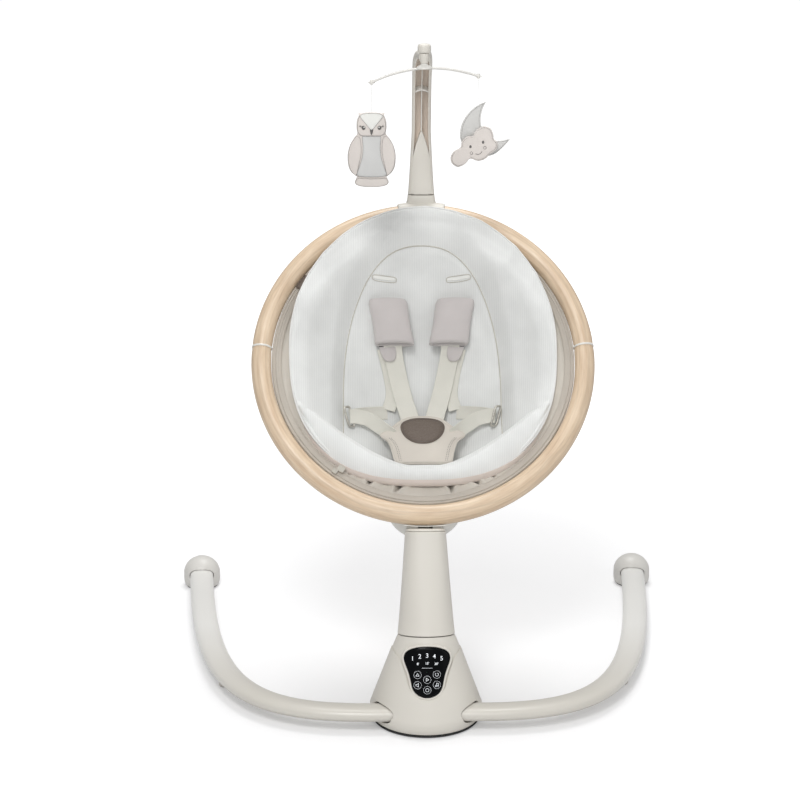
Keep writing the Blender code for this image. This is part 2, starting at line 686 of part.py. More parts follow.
def make_sling():
    sling = shell_between(
        polar_sheet(in_circle(SLING_RADIUS), SLING_DEEPEST, sling_height(), 8, 36),
        polar_sheet(in_circle(SLING_RADIUS), SLING_DEEPEST, sling_height(0.0030), 8, 36),
    )
    piece("seat_sling", "seat", "sling_fabric", sling)

    inner, outer = SLING_RADIUS + 2 * GAP, HOOP_RADIUS - TUBE_RADIUS - GAP
    rings = []
    for i in range(48):
        a = 2 * math.pi * i / 48
        outline = ((inner, -0.006), (outer, -0.004), (outer, 0.001), (inner, -0.001))
        rings.append([on_hoop(a, radius, h) for radius, h in outline])
    piece("zip_band", "seat", "zip_tape", loft(rings, closed=True))

    corners = []
    for degrees, radius in ((142.5, 0.2105), (147.5, 0.2105), (147.5, 0.2195), (142.5, 0.2195)):
        corners.append(on_hoop(math.radians(degrees), radius, 0.0020))
    tag = loft([[p + HOOP_OUT * lift for p in corners] for lift in (0.0, 0.0018)])
    piece("side_tag", "seat", "badge_leather", tag)


def lip_edge(x):
    """The front lip's outer edge, s at x."""
    return -0.194 * math.sqrt(1 - abs(x / 0.186) ** 2.6)


def lip_crest(x):
    """The front lip's ridge, s at x."""
    return -0.160 + 0.082 * (abs(x) / 0.178) ** 1.6


def make_liner():
    above, centre = polar_sheet(in_liner, -0.085, liner_height, 9, 40)
    below = []
    for row in above:
        below.append([(x, s, max(h - LINER_THICKNESS, support_height(x, s) + 0.0022)) for x, s, h in row])
        row[:] = [(x, s, max(h, low[2] + 0.004)) for (x, s, h), low in zip(row, below[-1])]
    deep = (centre[0], centre[1], centre[2] - LINER_THICKNESS)
    piece("seat_liner", "seat", "liner_fabric", shell_between((above, centre), (below, deep)))

    # The front lip: a crescent roll over the liner's foot, its ridge over the baby's lap.
    rings = []
    for i in range(25):
        x = 0.170 * (-1 + i / 12)
        thick = 0.012 * (1 - (abs(x) / 0.178) ** 4)
        edge, crest = lip_edge(x), lip_crest(x)
        ridge = 0.004 - 0.012 * (abs(x) / 0.170) ** 2
        outline = [(edge, ridge - 0.013), (edge + 0.004, ridge - 0.004), ((edge + crest) / 2, ridge - 0.0005),
                   (crest, ridge), (crest + 0.006, ridge - 0.004), (crest + 0.009, ridge - 0.016),
                   (crest + 0.004, ridge - 0.022 - thick), (crest - 0.006, ridge - 0.018 - thick),
                   (edge + 0.008, ridge - 0.018), (edge + 0.002, ridge - 0.017)]
        rings.append([in_hoop(x, s, h) for s, h in outline])
    lip = piece("liner_front_lip", "seat", "liner_fabric", loft(rings))
    outside = [(x * 1.005, s * 1.005, h) for x, s, h in above[0]]
    room = [[[(x, s, h + lift) for x, s, h in row] for row in (outside, *above)] for lift in (0.0010, -0.05)]
    tips = [(centre[0], centre[1], centre[2] + lift) for lift in (0.0010, -0.05)]
    boolean(lip, cutter("liner_room", "seat", shell_between((room[0], tips[0]), (room[1], tips[1]))))


# ---------------------------------------------------------------- harness
def ribbon(points, width, thickness, steps=5, sideways=(1, 0, 0)):
    """A flat strap through hoop-frame points; sideways is its width's direction there."""
    line = smooth_line([in_hoop(*p) for p in points], steps)
    wide = HOOP_UP * sideways[1] + HOOP_OUT * sideways[2] + Vector((sideways[0], 0, 0))
    rings = []
    last = len(line) - 1
    for i, centre in enumerate(line):
        along = (line[min(i + 1, last)] - line[max(i - 1, 0)]).normalized()
        side = (wide - along * wide.dot(along)).normalized()
        lift = side.cross(along)
        rings.append([centre + side * a + lift * b for a, b in (
            (-width / 2, -thickness / 2), (width / 2, -thickness / 2),
            (width / 2, thickness / 2), (-width / 2, thickness / 2))])
    return loft(rings)


def rounded_slab(at, half_u, half_v, half_w, turn=0.0, power=4.0, sides=20):
    """A soft-edged slab lying along the hoop's plane, turned about its own middle."""
    c, s = math.cos(turn), math.sin(turn)
    rings = []
    for share, height in ((0.90, -1.0), (1.0, -0.45), (1.0, 0.45), (0.90, 1.0)):
        ring = []
        for u, v in oval(half_u * share, half_v * share, sides, power):
            ring.append(in_hoop(at[0] + u * c - v * s, at[1] + u * s + v * c, at[2] + height * half_w))
        rings.append(ring)
    return loft(rings)


def lying(points, clear):
    """Hoop-frame points over the liner: points are (x, s) and clear is their height above it."""
    return [(x, s, liner_top(x, s) + lift) for (x, s), lift in zip(points, clear)]


def cover_height(s):
    """The buckle cover's front face, a flat slope from the baby's lap down to the front lip."""
    return -0.0870 - 0.36 * (s + 0.056)


def make_harness():
    for side, word in ((-1, "left"), (1, "right")):
        # Shoulder pads wrap the straps in two leaves; the strap runs on below the pad.
        rings = []
        for half_w, share in ((-0.0075, 0.92), (-0.0035, 1.0), (0.0035, 1.0), (0.0075, 0.92)):
            ring = []
            for u, v in oval(0.0285 * share, 0.0310 * share, 20, 4.5):
                x, s = side * (0.0455 + u) + side * 0.17 * v, 0.0830 + v
                ring.append(in_hoop(x, s, liner_top(x, s) * 0.75 - 0.0040 + half_w))
            rings.append(ring)
        piece("shoulder_pad_" + word, "seat", "pad_fabric", loft(rings))
        route = lying([(side * 0.0390, 0.0490), (side * 0.0370, 0.0350), (side * 0.0310, 0.0050),
                       (side * 0.0250, -0.0250), (side * 0.0200, -0.0480)],
                      (0.016, 0.013, 0.010, 0.014, 0.0200))
        piece("shoulder_strap_" + word, "seat", "webbing", ribbon(route, 0.0250, 0.0016))
        waist = lying([(side * 0.0600, -0.0700), (side * 0.0760, -0.0600), (side * 0.0900, -0.0570),
                       (side * 0.1020, -0.0600)], (0.020, 0.018, 0.012, 0.008))
        piece("waist_strap_" + word, "seat", "webbing",
              ribbon(waist, 0.0200, 0.0016, 5, (0, 0.9, 0.35)))
        x, s = side * 0.1065, -0.0610
        slide_at = in_hoop(x, s, liner_top(x, s) + 0.0115)
        tall = (HOOP_UP * 0.93 + HOOP_OUT * 0.36).normalized()
        flat = tall.cross(Vector((side, 0, 0)))
        frame = [[slide_at + tall * v + flat * u + Vector((w, 0, 0)) for v, u in (
            (-0.0130, -0.003), (0.0130, -0.003), (0.0130, 0.003), (-0.0130, 0.003))]
            for w in (-0.0012, 0.0012)]
        piece("waist_slide_" + word, "seat", "steel", loft(frame))

    # The buckle sits under its padded cover; the crotch strap runs down to the liner.
    cover = []
    for lift, share in ((-0.0110, 0.95), (-0.0040, 1.0), (0.0, 0.95)):
        outline = []
        for u, v in ((-0.040, -0.1370), (0.0, -0.1385), (0.040, -0.1370), (0.046, -0.120),
                     (0.060, -0.0930), (0.053, -0.0800), (0.034, -0.0640), (0.014, -0.0560),
                     (-0.014, -0.0560), (-0.034, -0.0640), (-0.053, -0.0800), (-0.060, -0.0930),
                     (-0.046, -0.120)):
            x, s = u * share, -0.100 + (v + 0.100) * share
            outline.append(in_hoop(x, s, cover_height(s) + lift))
        cover.append(outline)
    piece("buckle_cover", "seat", "buckle_cover", loft(cover))
    badge = []
    for lift in (GAP, GAP + 0.0012):
        badge.append([])
        for u, v in oval(0.0305, 0.0165, 28):
            badge[-1].append(in_hoop(u, v - 0.0810, lift + cover_height(v - 0.0810)))
    piece("cover_badge", "seat", "badge_leather", loft(badge))
    buckle = rounded_slab((0, -0.0840, cover_height(-0.0840) - 0.0240), 0.0180, 0.0150, 0.0045, 0.0, 5.0, 20)
    piece("harness_buckle", "seat", "rubber", buckle)
    crotch = lying([(0, -0.1020), (0, -0.1120), (0, -0.1200)], (0.010, 0.008, 0.004))
    piece("crotch_strap", "seat", "webbing", ribbon(crotch, 0.0240, 0.0018, 4))


# ---------------------------------------------------------------- toy bar
def make_socket():
    """A sleeve on the hoop's top with a neck that the toy bar plugs into."""
    half = math.radians(7.6)
    top = math.pi / 2
    sleeve = hoop_tube(top - half, top + half, 8, TUBE_RADIUS + 0.0035, 16)
    sleeve = piece("toy_bar_socket", "seat", "cream_plastic", sleeve)
    neck_rings = []
    for z, half_x, half_y in ((0.6690, 0.0255, 0.0120), (0.6790, 0.0215, 0.0115),
                              (SOCKET_TOP_Z - 0.0004, 0.0200, 0.0110)):
        neck_rings.append([Vector((x, 0.343 + y, z)) for x, y in oval(half_x, half_y, 20, 3)])
    neck = cutter("socket_neck", "seat", loft(neck_rings))
    boolean(sleeve, neck, "UNION")
    bore = hoop_tube(top - 2 * half, top + 2 * half, 12, TUBE_RADIUS + GAP, 14)
    boolean(sleeve, cutter("socket_bore", "seat", bore))
    band_room = turned([(0.2222, -0.03), (0.2222, 0.03)], HOOP_CENTRE, HOOP_OUT, sides=96)
    boolean(sleeve, cutter("band_room", "seat", band_room))
    peg_hole = block((-0.0115, 0.343 - 0.0065, 0.679), (0.0115, 0.343 + 0.0065, 0.72))
    boolean(sleeve, cutter("peg_hole", "seat", peg_hole))


def bar_point(t):
    p = bezier([(0, y, z) for y, z in BAR_ROUTE], t)
    return Vector((0, p.y, p.z))


def bar_direction(t):
    return (bar_point(min(t + 0.01, 1)) - bar_point(max(t - 0.01, 0))).normalized()


def bar_half(t):
    """Half the toy bar's width and depth at share t of its length."""
    wide = 0.0200 + (0.0143 - 0.0200) * min(1, t / 0.30) ** 0.8
    wide *= 1 - 0.50 * max(0, (t - 0.72) / 0.28) ** 1.5
    deep = 0.0110 - 0.0045 * t
    return wide, deep


def make_toy_bar():
    steps = 22
    rings = []
    for i in range(steps + 1):
        t = i / steps
        along = bar_direction(t)
        front = Vector((1, 0, 0)).cross(along)
        half_x, half_y = bar_half(t)
        rings.append([bar_point(t) + Vector((x, 0, 0)) + front * y for x, y in oval(half_x, half_y, 20, 3)])
    bar = piece("toy_bar_arch", "toy_bar", "cream_plastic", loft(rings))

    # The upper half is a channel, open underneath, that starts in a pointed arch.
    channel = []
    for i in range(13):
        t = 0.34 + 0.585 * i / 12
        along = bar_direction(t)
        front = Vector((1, 0, 0)).cross(along)
        half_x, half_y = bar_half(t)
        half_x = (half_x - 0.0030) * min(1, 0.12 + ((t - 0.34) / 0.16) ** 0.7)
        corners = ((-half_x, half_y + 0.004), (half_x, half_y + 0.004),
                   (half_x * 0.9, 0.0030 - half_y), (-half_x * 0.9, 0.0030 - half_y))
        channel.append([bar_point(t) + Vector((x, 0, 0)) + front * y for x, y in corners])
    boolean(bar, cutter("bar_channel", "toy_bar", loft(channel)))

    peg = block((-0.0108, 0.343 - 0.0058, 0.6795), (0.0108, 0.343 + 0.0058, 0.700))
    boolean(bar, cutter("bar_peg", "toy_bar", peg), "UNION")
    eye = turned([(0.0066, 0), (0.0066, 0.0125)], SPINDLE + Vector((0, 0, 0.9040)), sides=20)
    boolean(bar, cutter("bar_eye", "toy_bar", eye), "UNION")
    eye_bore = turned([(0.0036, 0), (0.0036, 0.03)], SPINDLE + Vector((0, 0, 0.8950)), sides=16)
    boolean(bar, cutter("bar_eye_bore", "toy_bar", eye_bore))


# ---------------------------------------------------------------- mobile
def mobile_point(x, drop=0.0):
    """A point of the mobile's bowed rod, which leans a little to the heavier toy."""
    sag = -0.0150 * (x / MOBILE_REACH) ** 2
    turn = Matrix.Rotation(-MOBILE_LEAN, 3, "Y")
    return SPINDLE + Vector((0, 0, ROD_Z)) + turn @ Vector((x, 0, sag)) + Vector((0, 0, drop))


def make_mobile():
    at = SPINDLE
    knob = [(0.0080, 0.9175), (0.0093, 0.9185), (0.0093, 0.9255), (0.0080, 0.9285), (0.0045, 0.9297)]
    knob = piece("mobile_knob", "mobile", "cream_plastic", turned(knob, at, sides=24))
    spindle = turned([(0.0031, 0.9035), (0.0031, 0.9200)], at, sides=16)
    boolean(knob, cutter("spindle_core", "mobile", spindle), "UNION")
    bell = [(0.0110, ROD_Z - 0.0006), (0.0105, ROD_Z + 0.0030), (0.0060, ROD_Z + 0.0055),
            (0.0036, ROD_Z + 0.0075)]
    line = [mobile_point(-MOBILE_REACH + 2 * MOBILE_REACH * i / 24) for i in range(25)]
    rod = sweep(line, oval(0.0024, 0.0012, 10, 2.5), (0, 0, 1))
    rod = piece("mobile_rod", "mobile", "cream_plastic", rod)
    boolean(rod, cutter("rod_bell", "mobile", turned(bell, at, sides=24)), "UNION")
    for side, word in ((-1, "left"), (1, "right")):
        tip = mobile_point(side * (MOBILE_REACH + 0.0010))
        clip = turned([(0.0024, -0.0030), (0.0031, -0.0015), (0.0031, 0.0022), (0.0020, 0.0034)],
                      tip, sides=12)
        boolean(rod, cutter("rod_clip_" + word, "mobile", clip), "UNION")


def toy_top(side):
    """Where a toy's thread leaves its clip."""
    return mobile_point(side * (MOBILE_REACH + 0.0010)) + Vector((0, 0, -0.0034))


def upright(at, turn=0.0):
    """A place() for flat toys that hang in the XZ plane from a point."""
    c, s = math.cos(turn), math.sin(turn)
    return lambda u, v, w: at + Vector((u * c - v * s, -w, u * s + v * c))


def make_thread(name, body, top, length):
    line = [top + Vector((0, 0, -length * i / 6)) for i in range(7)]
    curve = bpy.data.curves.new(name, "CURVE")
    curve.dimensions = "3D"
    curve.bevel_depth = 0.0004
    curve.bevel_resolution = 2
    curve.use_fill_caps = True
    spline = curve.splines.new("POLY")
    spline.points.add(len(line) - 1)
    for point, place in zip(spline.points, line):
        point.co = (*(place - BODY_ORIGINS[body]), 1)
    curve.materials.append(material("thread"))
    made = bpy.data.objects.new(name, curve)
    bpy.context.scene.collection.objects.link(made)
    made.parent = body_empty(body)


def owl_outline(steps=40):
    """The owl from the front, its top at v = 0: a head, round wings and a base."""
    points = []
    for i in range(steps):
        a = 2 * math.pi * i / steps
        c, s = math.cos(a), math.sin(a)
        v = -0.0520 + 0.0520 * s
        if v > -0.045:
            half = 0.0245 + 0.0010 * math.cos(v / 0.014)
        elif v > -0.090:
            half = 0.0245 + 0.0115 * math.sin(math.pi * (-v - 0.045) / 0.062)
        else:
            half = 0.0210
        points.append((half * math.copysign(abs(c) ** 0.55, c), v))
    return points


def moon_outline(steps=16):
    """A crescent: an outer arc and a shallower inner one."""
    points = []
    for i in range(steps + 1):
        a = math.radians(62 + 236 * i / steps)
        points.append((0.0400 * math.cos(a), 0.0400 * math.sin(a)))
    inner = 0.0330
    for i in range(1, steps):
        a = math.radians(298 - 236 * i / steps)
        points.append((0.0145 + inner * 1.02 * math.cos(a) * 0.86, inner * 1.04 * math.sin(a)))
    return points


def cloud_outline(steps=8):
    """Five round lobes."""
    lobes = (((0.000, 0.0110), 0.0150, 55, 215), ((-0.0230, -0.0020), 0.0120, 75, 200),
             ((-0.0370, -0.0140), 0.0110, 100, 300), ((-0.0020, -0.0140), 0.0160, 235, 330),
             ((0.0170, -0.0030), 0.0125, 270, 415))
    points = []
    for (x, y), r, start, end in lobes[:1] + lobes[1:]:
        for i in range(steps):
            a = math.radians(start + (end - start) * i / (steps - 1))
            points.append((x + r * math.cos(a), y + r * math.sin(a)))
    return points


def make_toys():
    owl_thread, moon_thread = 0.0370, 0.0310
    top = toy_top(-1)
    make_thread("owl_thread", "owl_toy", top + Vector((0, 0, -GAP)), owl_thread)
    owl_at = top + Vector((0, 0, -owl_thread - 2 * GAP))
    piece("owl", "owl_toy", "toy_blush", plate(owl_outline(), upright(owl_at), -0.0045, 0.0045))

    top = toy_top(1)
    make_thread("moon_thread", "moon_toy", top + Vector((0, 0, -GAP)), moon_thread)
    moon_at = top + Vector((-0.0035, 0, -moon_thread - 0.0420))
    piece("moon", "moon_toy", "toy_grey",
          plate(moon_outline(), upright(moon_at, math.radians(38)), -0.0060, -0.0005))
    cloud_at = moon_at + Vector((0.0040, 0, -0.0060))
    piece("cloud", "moon_toy", "toy_blush",
          plate(cloud_outline(), upright(cloud_at, math.radians(25)), 0.0, 0.0060))


def main():
    for old in list(bpy.data.objects):
        bpy.data.objects.remove(old)
    BODY_ORIGINS["owl_toy"] = toy_top(-1)
    BODY_ORIGINS["moon_toy"] = toy_top(1)
    make_base()
    make_hub()
    make_hub_inside()
    make_swing_arm()
    make_hoop()
    make_sling()
    make_liner()
    make_harness()
    make_socket()
    make_toy_bar()
    make_mobile()
    make_toys()


main()
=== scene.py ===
"""Baby swing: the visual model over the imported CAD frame. Metres, +Z up, -Y towards the front."""

import random
from math import acos, atan2, copysign, cos, degrees, exp, hypot, pi, radians, sin, sqrt

import bmesh
import bpy
from mathutils import Matrix, Vector, noise


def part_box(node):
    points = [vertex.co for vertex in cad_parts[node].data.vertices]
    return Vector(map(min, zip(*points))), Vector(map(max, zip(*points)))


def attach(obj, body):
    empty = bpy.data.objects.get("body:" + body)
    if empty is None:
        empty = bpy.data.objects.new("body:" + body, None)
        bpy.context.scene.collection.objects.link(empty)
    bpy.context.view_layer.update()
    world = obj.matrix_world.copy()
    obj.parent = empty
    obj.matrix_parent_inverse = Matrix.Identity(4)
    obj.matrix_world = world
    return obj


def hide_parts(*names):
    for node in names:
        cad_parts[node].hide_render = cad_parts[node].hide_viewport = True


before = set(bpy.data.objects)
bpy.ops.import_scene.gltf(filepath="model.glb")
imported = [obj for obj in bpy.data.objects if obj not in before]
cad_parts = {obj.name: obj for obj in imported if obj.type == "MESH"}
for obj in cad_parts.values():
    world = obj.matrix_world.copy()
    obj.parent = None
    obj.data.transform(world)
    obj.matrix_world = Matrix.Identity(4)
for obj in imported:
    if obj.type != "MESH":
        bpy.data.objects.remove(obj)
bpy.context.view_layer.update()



def vec(x, y, z):
    return Vector((x, y, z))


# ---------------------------------------------------------------- dimensions, as in the CAD
HUB_Y = sum(corner[1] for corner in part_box("hub_rubber_pad")) / 2
LEG_WIDTH, LEG_HEIGHT, LEG_Z = 0.038, 0.021, 0.024
LEG_ROUTE = (0.08, -0.0405), (0.27, -0.0405), (0.323, 0.0733), (0.3605, 0.526)
END_FOOT = vec(0.3605, 0.532, 0)
HUB_RADIUS, HUB_WIDEST_Z = 0.08, 0.022
SEAM_RADIUS, SEAM_Z = 0.0405, 0.126
SWING_LEAN, PANEL_LEAN = radians(14), radians(17.5)
PANEL_HALF_HEIGHT, PANEL_CURVE = 0.035, 0.085
PIVOT = vec(0, 0.097, 0.279)
DOME_RADIUS, DOME_HALF_LENGTH = 0.045, 0.054
HOOP_CENTRE, HOOP_TILT = vec(0, 0.2, 0.4715), radians(54)
HOOP_RADIUS, TUBE_RADIUS, HOOP_JOINT = 0.236, 0.0145, radians(5)
SLING_RADIUS, SLING_DEPTH, SLING_DEEPEST = 0.207, 0.15, -0.09
LINER_HALF_WIDTH, LINER_THICKNESS = 0.1945, 0.013
BAR_ROUTE = ((0.343, 0.6925), (0.352, 0.79), (0.346, 0.926), (0.19, 0.91))
SPINDLE, MOBILE_REACH, MOBILE_LEAN, ROD_Z = vec(0, 0.19, 0), 0.074, radians(3.2), 0.8955

SWING_AXIS = vec(0, sin(SWING_LEAN), cos(SWING_LEAN))
SEAM = vec(0, 0, SEAM_Z)
HOOP_UP = vec(0, cos(HOOP_TILT), sin(HOOP_TILT))
HOOP_OUT = vec(0, -sin(HOOP_TILT), cos(HOOP_TILT))
TO_ROW = vec(0, HUB_Y, 0)
PANEL_CENTRE = vec(0, -0.056, 0.0905)
PANEL_UP, PANEL_OUT = vec(0, sin(PANEL_LEAN), cos(PANEL_LEAN)), vec(0, -cos(PANEL_LEAN), sin(PANEL_LEAN))
INK_LIFT = 0.00018
LEG_Y, BAR_FOOT_Y = -0.0405, 0.343
SLEEVE_X, SLEEVE_S = 0.0455, 0.083  # the middle of a shoulder sleeve, across and up the seat
LINER_MIDDLE, BADGE_MIDDLE, COVER_MIDDLE = -0.085, -0.0825, -0.098
LIP_HALF = 0.1815
SIDES = ((-1, "left"), (1, "right"))
WEBBING = 0.0015


# ---------------------------------------------------------------- node materials
class Shader:
    """A material that is put together from nodes, in a few short calls."""

    def __init__(self, name, colour, roughness=0.5, metallic=0.0, **sockets):
        self.material = bpy.data.materials.new(name)
        self.material.use_nodes = True
        self.tree = self.material.node_tree
        self.main = self.tree.nodes["Principled BSDF"]
        self.main.inputs["Base Color"].default_value = (*linear(colour), 1)
        self.main.inputs["Roughness"].default_value = roughness
        self.main.inputs["Metallic"].default_value = metallic
        for label, value in sockets.items():
            self.main.inputs[label.replace("_", " ")].default_value = value
        self.colour = None
        self.height = None

    def node(self, kind, **settings):
        made = self.tree.nodes.new("ShaderNode" + kind)
        for key, value in settings.items():
            if hasattr(made, key):
                setattr(made, key, value)
            else:
                made.inputs[key.replace("_", " ")].default_value = value
        return made

    def link(self, source, target):
        self.tree.links.new(source, target)

    def place(self, scale=(1, 1, 1), kind="Object", turn=(0, 0, 0)):
        """Coordinates in metres times scale: Object, or UV laid out in metres."""
        coords = self.node("TexCoord")
        mapping = self.node("Mapping")
        mapping.inputs["Scale"].default_value = scale
        mapping.inputs["Rotation"].default_value = turn
        self.link(coords.outputs[kind], mapping.inputs["Vector"])
        return mapping.outputs["Vector"]

    def noise(self, vector, scale, detail=3.0, rough=0.5):
        made = self.node("TexNoise", Scale=scale, Detail=detail, Roughness=rough)
        self.link(vector, made.inputs["Vector"])
        return made.outputs["Fac"]

    def wave(self, vector, scale, axis="X", distortion=0.0, detail=1.0):
        made = self.node("TexWave", bands_direction=axis, wave_profile="SIN", Scale=scale,
            Distortion=distortion, Detail=detail)
        made.inputs["Detail Scale"].default_value = 3.0
        self.link(vector, made.inputs["Vector"])
        return made.outputs["Fac"]

    def math(self, kind, a, b=0.5):
        made = self.node("Math", operation=kind)
        for socket, value in zip(made.inputs, (a, b)):
            if isinstance(value, (int, float)):
                socket.default_value = value
            else:
                self.link(value, socket)
        return made.outputs["Value"]

    def tint(self, fac, low, high, dark, light):
        """The base colour runs from dark to light as fac goes from low to high."""
        made = self.node("ValToRGB")
        made.color_ramp.elements[0].position = low
        made.color_ramp.elements[1].position = high
        made.color_ramp.elements[0].color = (*linear(dark), 1)
        made.color_ramp.elements[1].color = (*linear(light), 1)
        self.link(fac, made.inputs["Fac"])
        self.link(made.outputs["Color"], self.main.inputs["Base Color"])
        self.colour = made.outputs["Color"]
        return self

    def multiply(self, fac, low, high, dark):
        """Darkens the colour so far by dark where fac is low."""
        ramp = self.node("ValToRGB")
        ramp.color_ramp.elements[0].position = low
        ramp.color_ramp.elements[1].position = high
        ramp.color_ramp.elements[0].color = (dark, dark, dark, 1)
        self.link(fac, ramp.inputs["Fac"])
        mix = self.node("Mix", data_type="RGBA", blend_type="MULTIPLY")
        mix.inputs[0].default_value = 1
        self.link(self.colour, mix.inputs[6])
        self.link(ramp.outputs["Color"], mix.inputs[7])
        self.colour = mix.outputs[2]
        self.link(self.colour, self.main.inputs["Base Color"])
        return self

    def bump(self, fac, strength, distance):
        made = self.node("Bump", Strength=strength, Distance=distance)
        self.link(fac, made.inputs["Height"])
        if self.height:
            self.link(self.height, made.inputs["Normal"])
        self.height = made.outputs["Normal"]
        self.link(self.height, self.main.inputs["Normal"])
        return self

    def rough(self, fac, low, high):
        made = self.node("MapRange")
        made.inputs["To Min"].default_value = low
        made.inputs["To Max"].default_value = high
        self.link(fac, made.inputs["Value"])
        self.link(made.outputs["Result"], self.main.inputs["Roughness"])
        return self


def linear(colour):
    """An sRGB colour of 0 to 255 as linear numbers."""
    return tuple((c / 255 / 12.92) if c <= 10 else ((c / 255 + 0.055) / 1.055) ** 2.4 for c in colour)


def shade(colour, factor):
    return tuple(min(255, c * factor) for c in colour)


def plastic(name, colour, roughness):
    s = Shader(name, colour, roughness)
    at = s.place()
    cloud = s.noise(at, 9, 2)
    s.tint(cloud, 0.3, 0.7, shade(colour, 0.985), shade(colour, 1.01))
    fine = s.noise(at, 2600, 2, 0.7)
    s.bump(fine, 0.1, 0.00012)
    s.rough(s.noise(at, 60, 3), roughness - 0.05, roughness + 0.06)
    return s.material


def fabric(name, colour, pitch, depth, strength, sheen, knit):
    """Cloth whose threads run along its UV map, which is in metres; knit is rib, twill or plain.
    Plush has no thread direction and takes object coordinates."""
    kind = "Object" if knit == "plush" else "UV"
    s = Shader(name, colour, 0.92, Sheen_Weight=sheen, Sheen_Roughness=0.5)
    at = s.place(kind=kind)
    cloud = s.noise(at, 14, 3)
    s.tint(cloud, 0.32, 0.68, shade(colour, 0.965), shade(colour, 1.015))
    # In every weave below, the colour darkens where the bump is low: painted shade in the grooves between
    # threads.
    if knit == "rib":
        lines = s.wave(at, WAVE_PITCH / pitch, "X", 0.3, 1.0)
        cross = s.wave(at, WAVE_PITCH / (pitch * 0.5), "Y", 0.6, 1.0)
        weave = s.math("ADD", lines, s.math("MULTIPLY", cross, 0.3))
        s.multiply(lines, 0.0, 0.6, 0.925)
    elif knit == "twill":
        turned_at = s.place(kind=kind, turn=(0, 0, radians(38)))
        lines = s.wave(turned_at, WAVE_PITCH / pitch, "X", 0.6, 1.0)
        weave = s.math("ADD", lines, s.math("MULTIPLY", s.noise(at, 1 / pitch, 2), 0.8))
        s.multiply(lines, 0.0, 0.6, 0.95)
    elif knit == "plain":
        a = s.wave(at, WAVE_PITCH / pitch, "X", 0.4, 1.0)
        b = s.wave(at, WAVE_PITCH / pitch, "Y", 0.4, 1.0)
        weave = s.math("MULTIPLY", a, b)
        s.multiply(weave, 0.0, 0.45, 0.93)
    else:
        weave = s.noise(at, 1.2 / pitch, 4, 0.7)
        s.multiply(weave, 0.35, 0.6, 0.9)
    s.bump(weave, strength, depth)
    s.bump(s.noise(at, 45, 4), 0.25, 0.001)
    return s.material


WAVE_PITCH = 0.3142  # a wave texture of this scale repeats once a metre
CREAM = (217, 213, 204)
PALE = (229, 228, 224)
MATERIALS = {}


